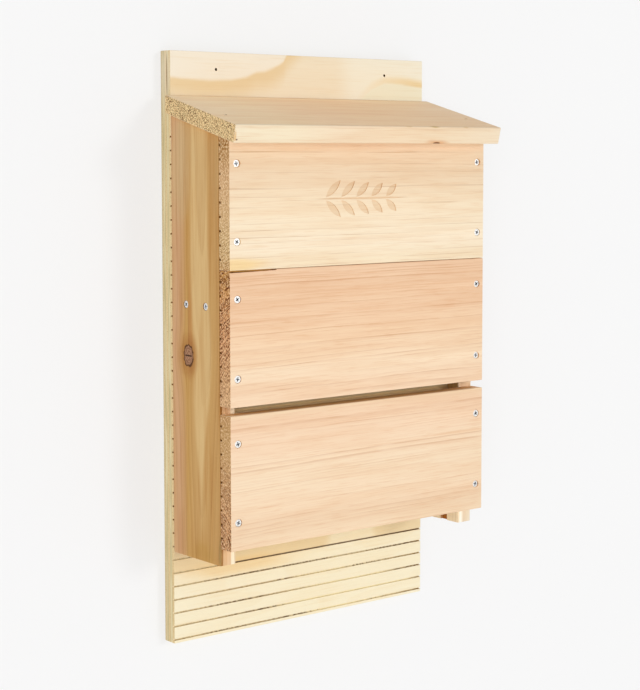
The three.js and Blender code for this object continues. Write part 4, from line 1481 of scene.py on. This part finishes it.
hand_over(plywood_back, "backboard", plywood_finish)
hand_over(side_boards["left"], "left_side", left_timber)
hand_over(side_boards["right"], "right_side", right_timber)
hand_over(front_boards["upper"], "front_upper", upper_timber)
hand_over(front_boards["middle"], "front_middle", middle_timber)
hand_over(front_boards["lower"], "front_lower", lower_timber)
hand_over(roof_board, "roof", roof_timber)
for name, piece in baffles.items():
    hand_over(piece, name, baffle_timber)
for node, piece in zip(screw_nodes, screws):
    hand_over(piece, node, zinc)
for node, piece in zip(nail_nodes, nails):
    hand_over(piece, node, steel)


# %% [markdown]
# ## Wall, floor and light
#
# The box hangs on a pale wall. The wall is drawn only for the camera, and only from its front,
# so it catches the soft shadow beside the box and never hides the back of it.

# %% Wall and floor
def backdrop(name, corner, size, turn, glow, paper, one_sided):
    bpy.ops.object.select_all(action="DESELECT")
    bpy.ops.mesh.primitive_plane_add(size=size, location=corner, rotation=turn)
    sheet = bpy.context.object
    sheet.name = name
    bpy.ops.object.transform_apply(location=True, rotation=True, scale=True)
    material, tree, surface = start_material(name)
    tree.nodes.remove(surface)
    output = tree.nodes["Material Output"]
    white = add(tree, "BsdfDiffuse", {"Color": paper})
    shine = add(tree, "Emission", {"Color": (1, 1, 1, 1), "Strength": glow})
    both = add(tree, "AddShader", {0: white, 1: shine})
    clear = add(tree, "BsdfTransparent")
    seen = add(tree, "LightPath")
    if one_sided:
        behind = add(tree, "NewGeometry", output="Backfacing")
        seen = times(tree, seen, minus(tree, 1.0, behind))
        tree.links.new(add(tree, "MixShader", {0: seen, 1: clear, 2: both}), output.inputs["Surface"])
    else:
        tree.links.new(both, output.inputs["Surface"])
    sheet.data.materials.append(material)
    print("backdrop:", name)


WALL_GLOW = 0.605
FLOOR_GLOW = 0.7
PAPER = (0.324, 0.324, 0.324, 1)
FLOOR_Z = -1.2
WALL_SIZE, FLOOR_SIZE = 12, 14
backdrop("wall", (0, 0.5 * MM, 0), WALL_SIZE, (math.pi / 2, 0, 0), WALL_GLOW, PAPER, True)
backdrop("floor", (0, 0, FLOOR_Z), FLOOR_SIZE, (0, 0, 0), FLOOR_GLOW, PAPER, False)

# %% [markdown]
# A white world lights everything evenly. A broad soft sun from the front right makes the front
# boards the brightest, as in the photograph, and a second one, broader and lower, comes from beside
# the camera and reaches into the slot and the grooves. One hard lamp would be simpler, but it
# would draw dark shadows that the real box doesn't have.

# %% World and sun
WORLD_LIGHT = 0.55
WHITE_BEHIND = 0.94
KEY_LIGHT, KEY_TURN, KEY_LIFT, KEY_WIDTH = 0.196, 24, 12, 14
FILL_LIGHT, FILL_TURN, FILL_LIFT, FILL_WIDTH = 0.24, -40, 3, 25

world = bpy.data.worlds.new("world")
world.use_nodes = True
bpy.context.scene.world = world
tree = world.node_tree
rays = add(tree, "LightPath").node
direct = calc(tree, "MAXIMUM", rays.outputs["Is Camera Ray"],
              calc(tree, "MAXIMUM", rays.outputs["Is Glossy Ray"], rays.outputs["Is Transmission Ray"]))
strength = calc(tree, "MULTIPLY_ADD", direct, WHITE_BEHIND - WORLD_LIGHT, WORLD_LIGHT)
background = tree.nodes["Background"]
background.inputs["Color"].default_value = (1, 1, 1, 1)
tree.links.new(strength, background.inputs["Strength"])


def broad_sun(name, light, turn, lift, width):
    data = bpy.data.lights.new(name, "SUN")
    data.energy = light * math.pi
    data.angle = math.radians(width)
    sun = bpy.data.objects.new(name, data)
    bpy.context.scene.collection.objects.link(sun)
    sun.rotation_euler = (math.radians(90 - lift), 0, math.radians(turn))
    print(name, "sun at", light)


broad_sun("key", KEY_LIGHT, KEY_TURN, KEY_LIFT, KEY_WIDTH)
broad_sun("fill", FILL_LIGHT, FILL_TURN, FILL_LIFT, FILL_WIDTH)

bpy.context.scene.view_settings.view_transform = "Standard"
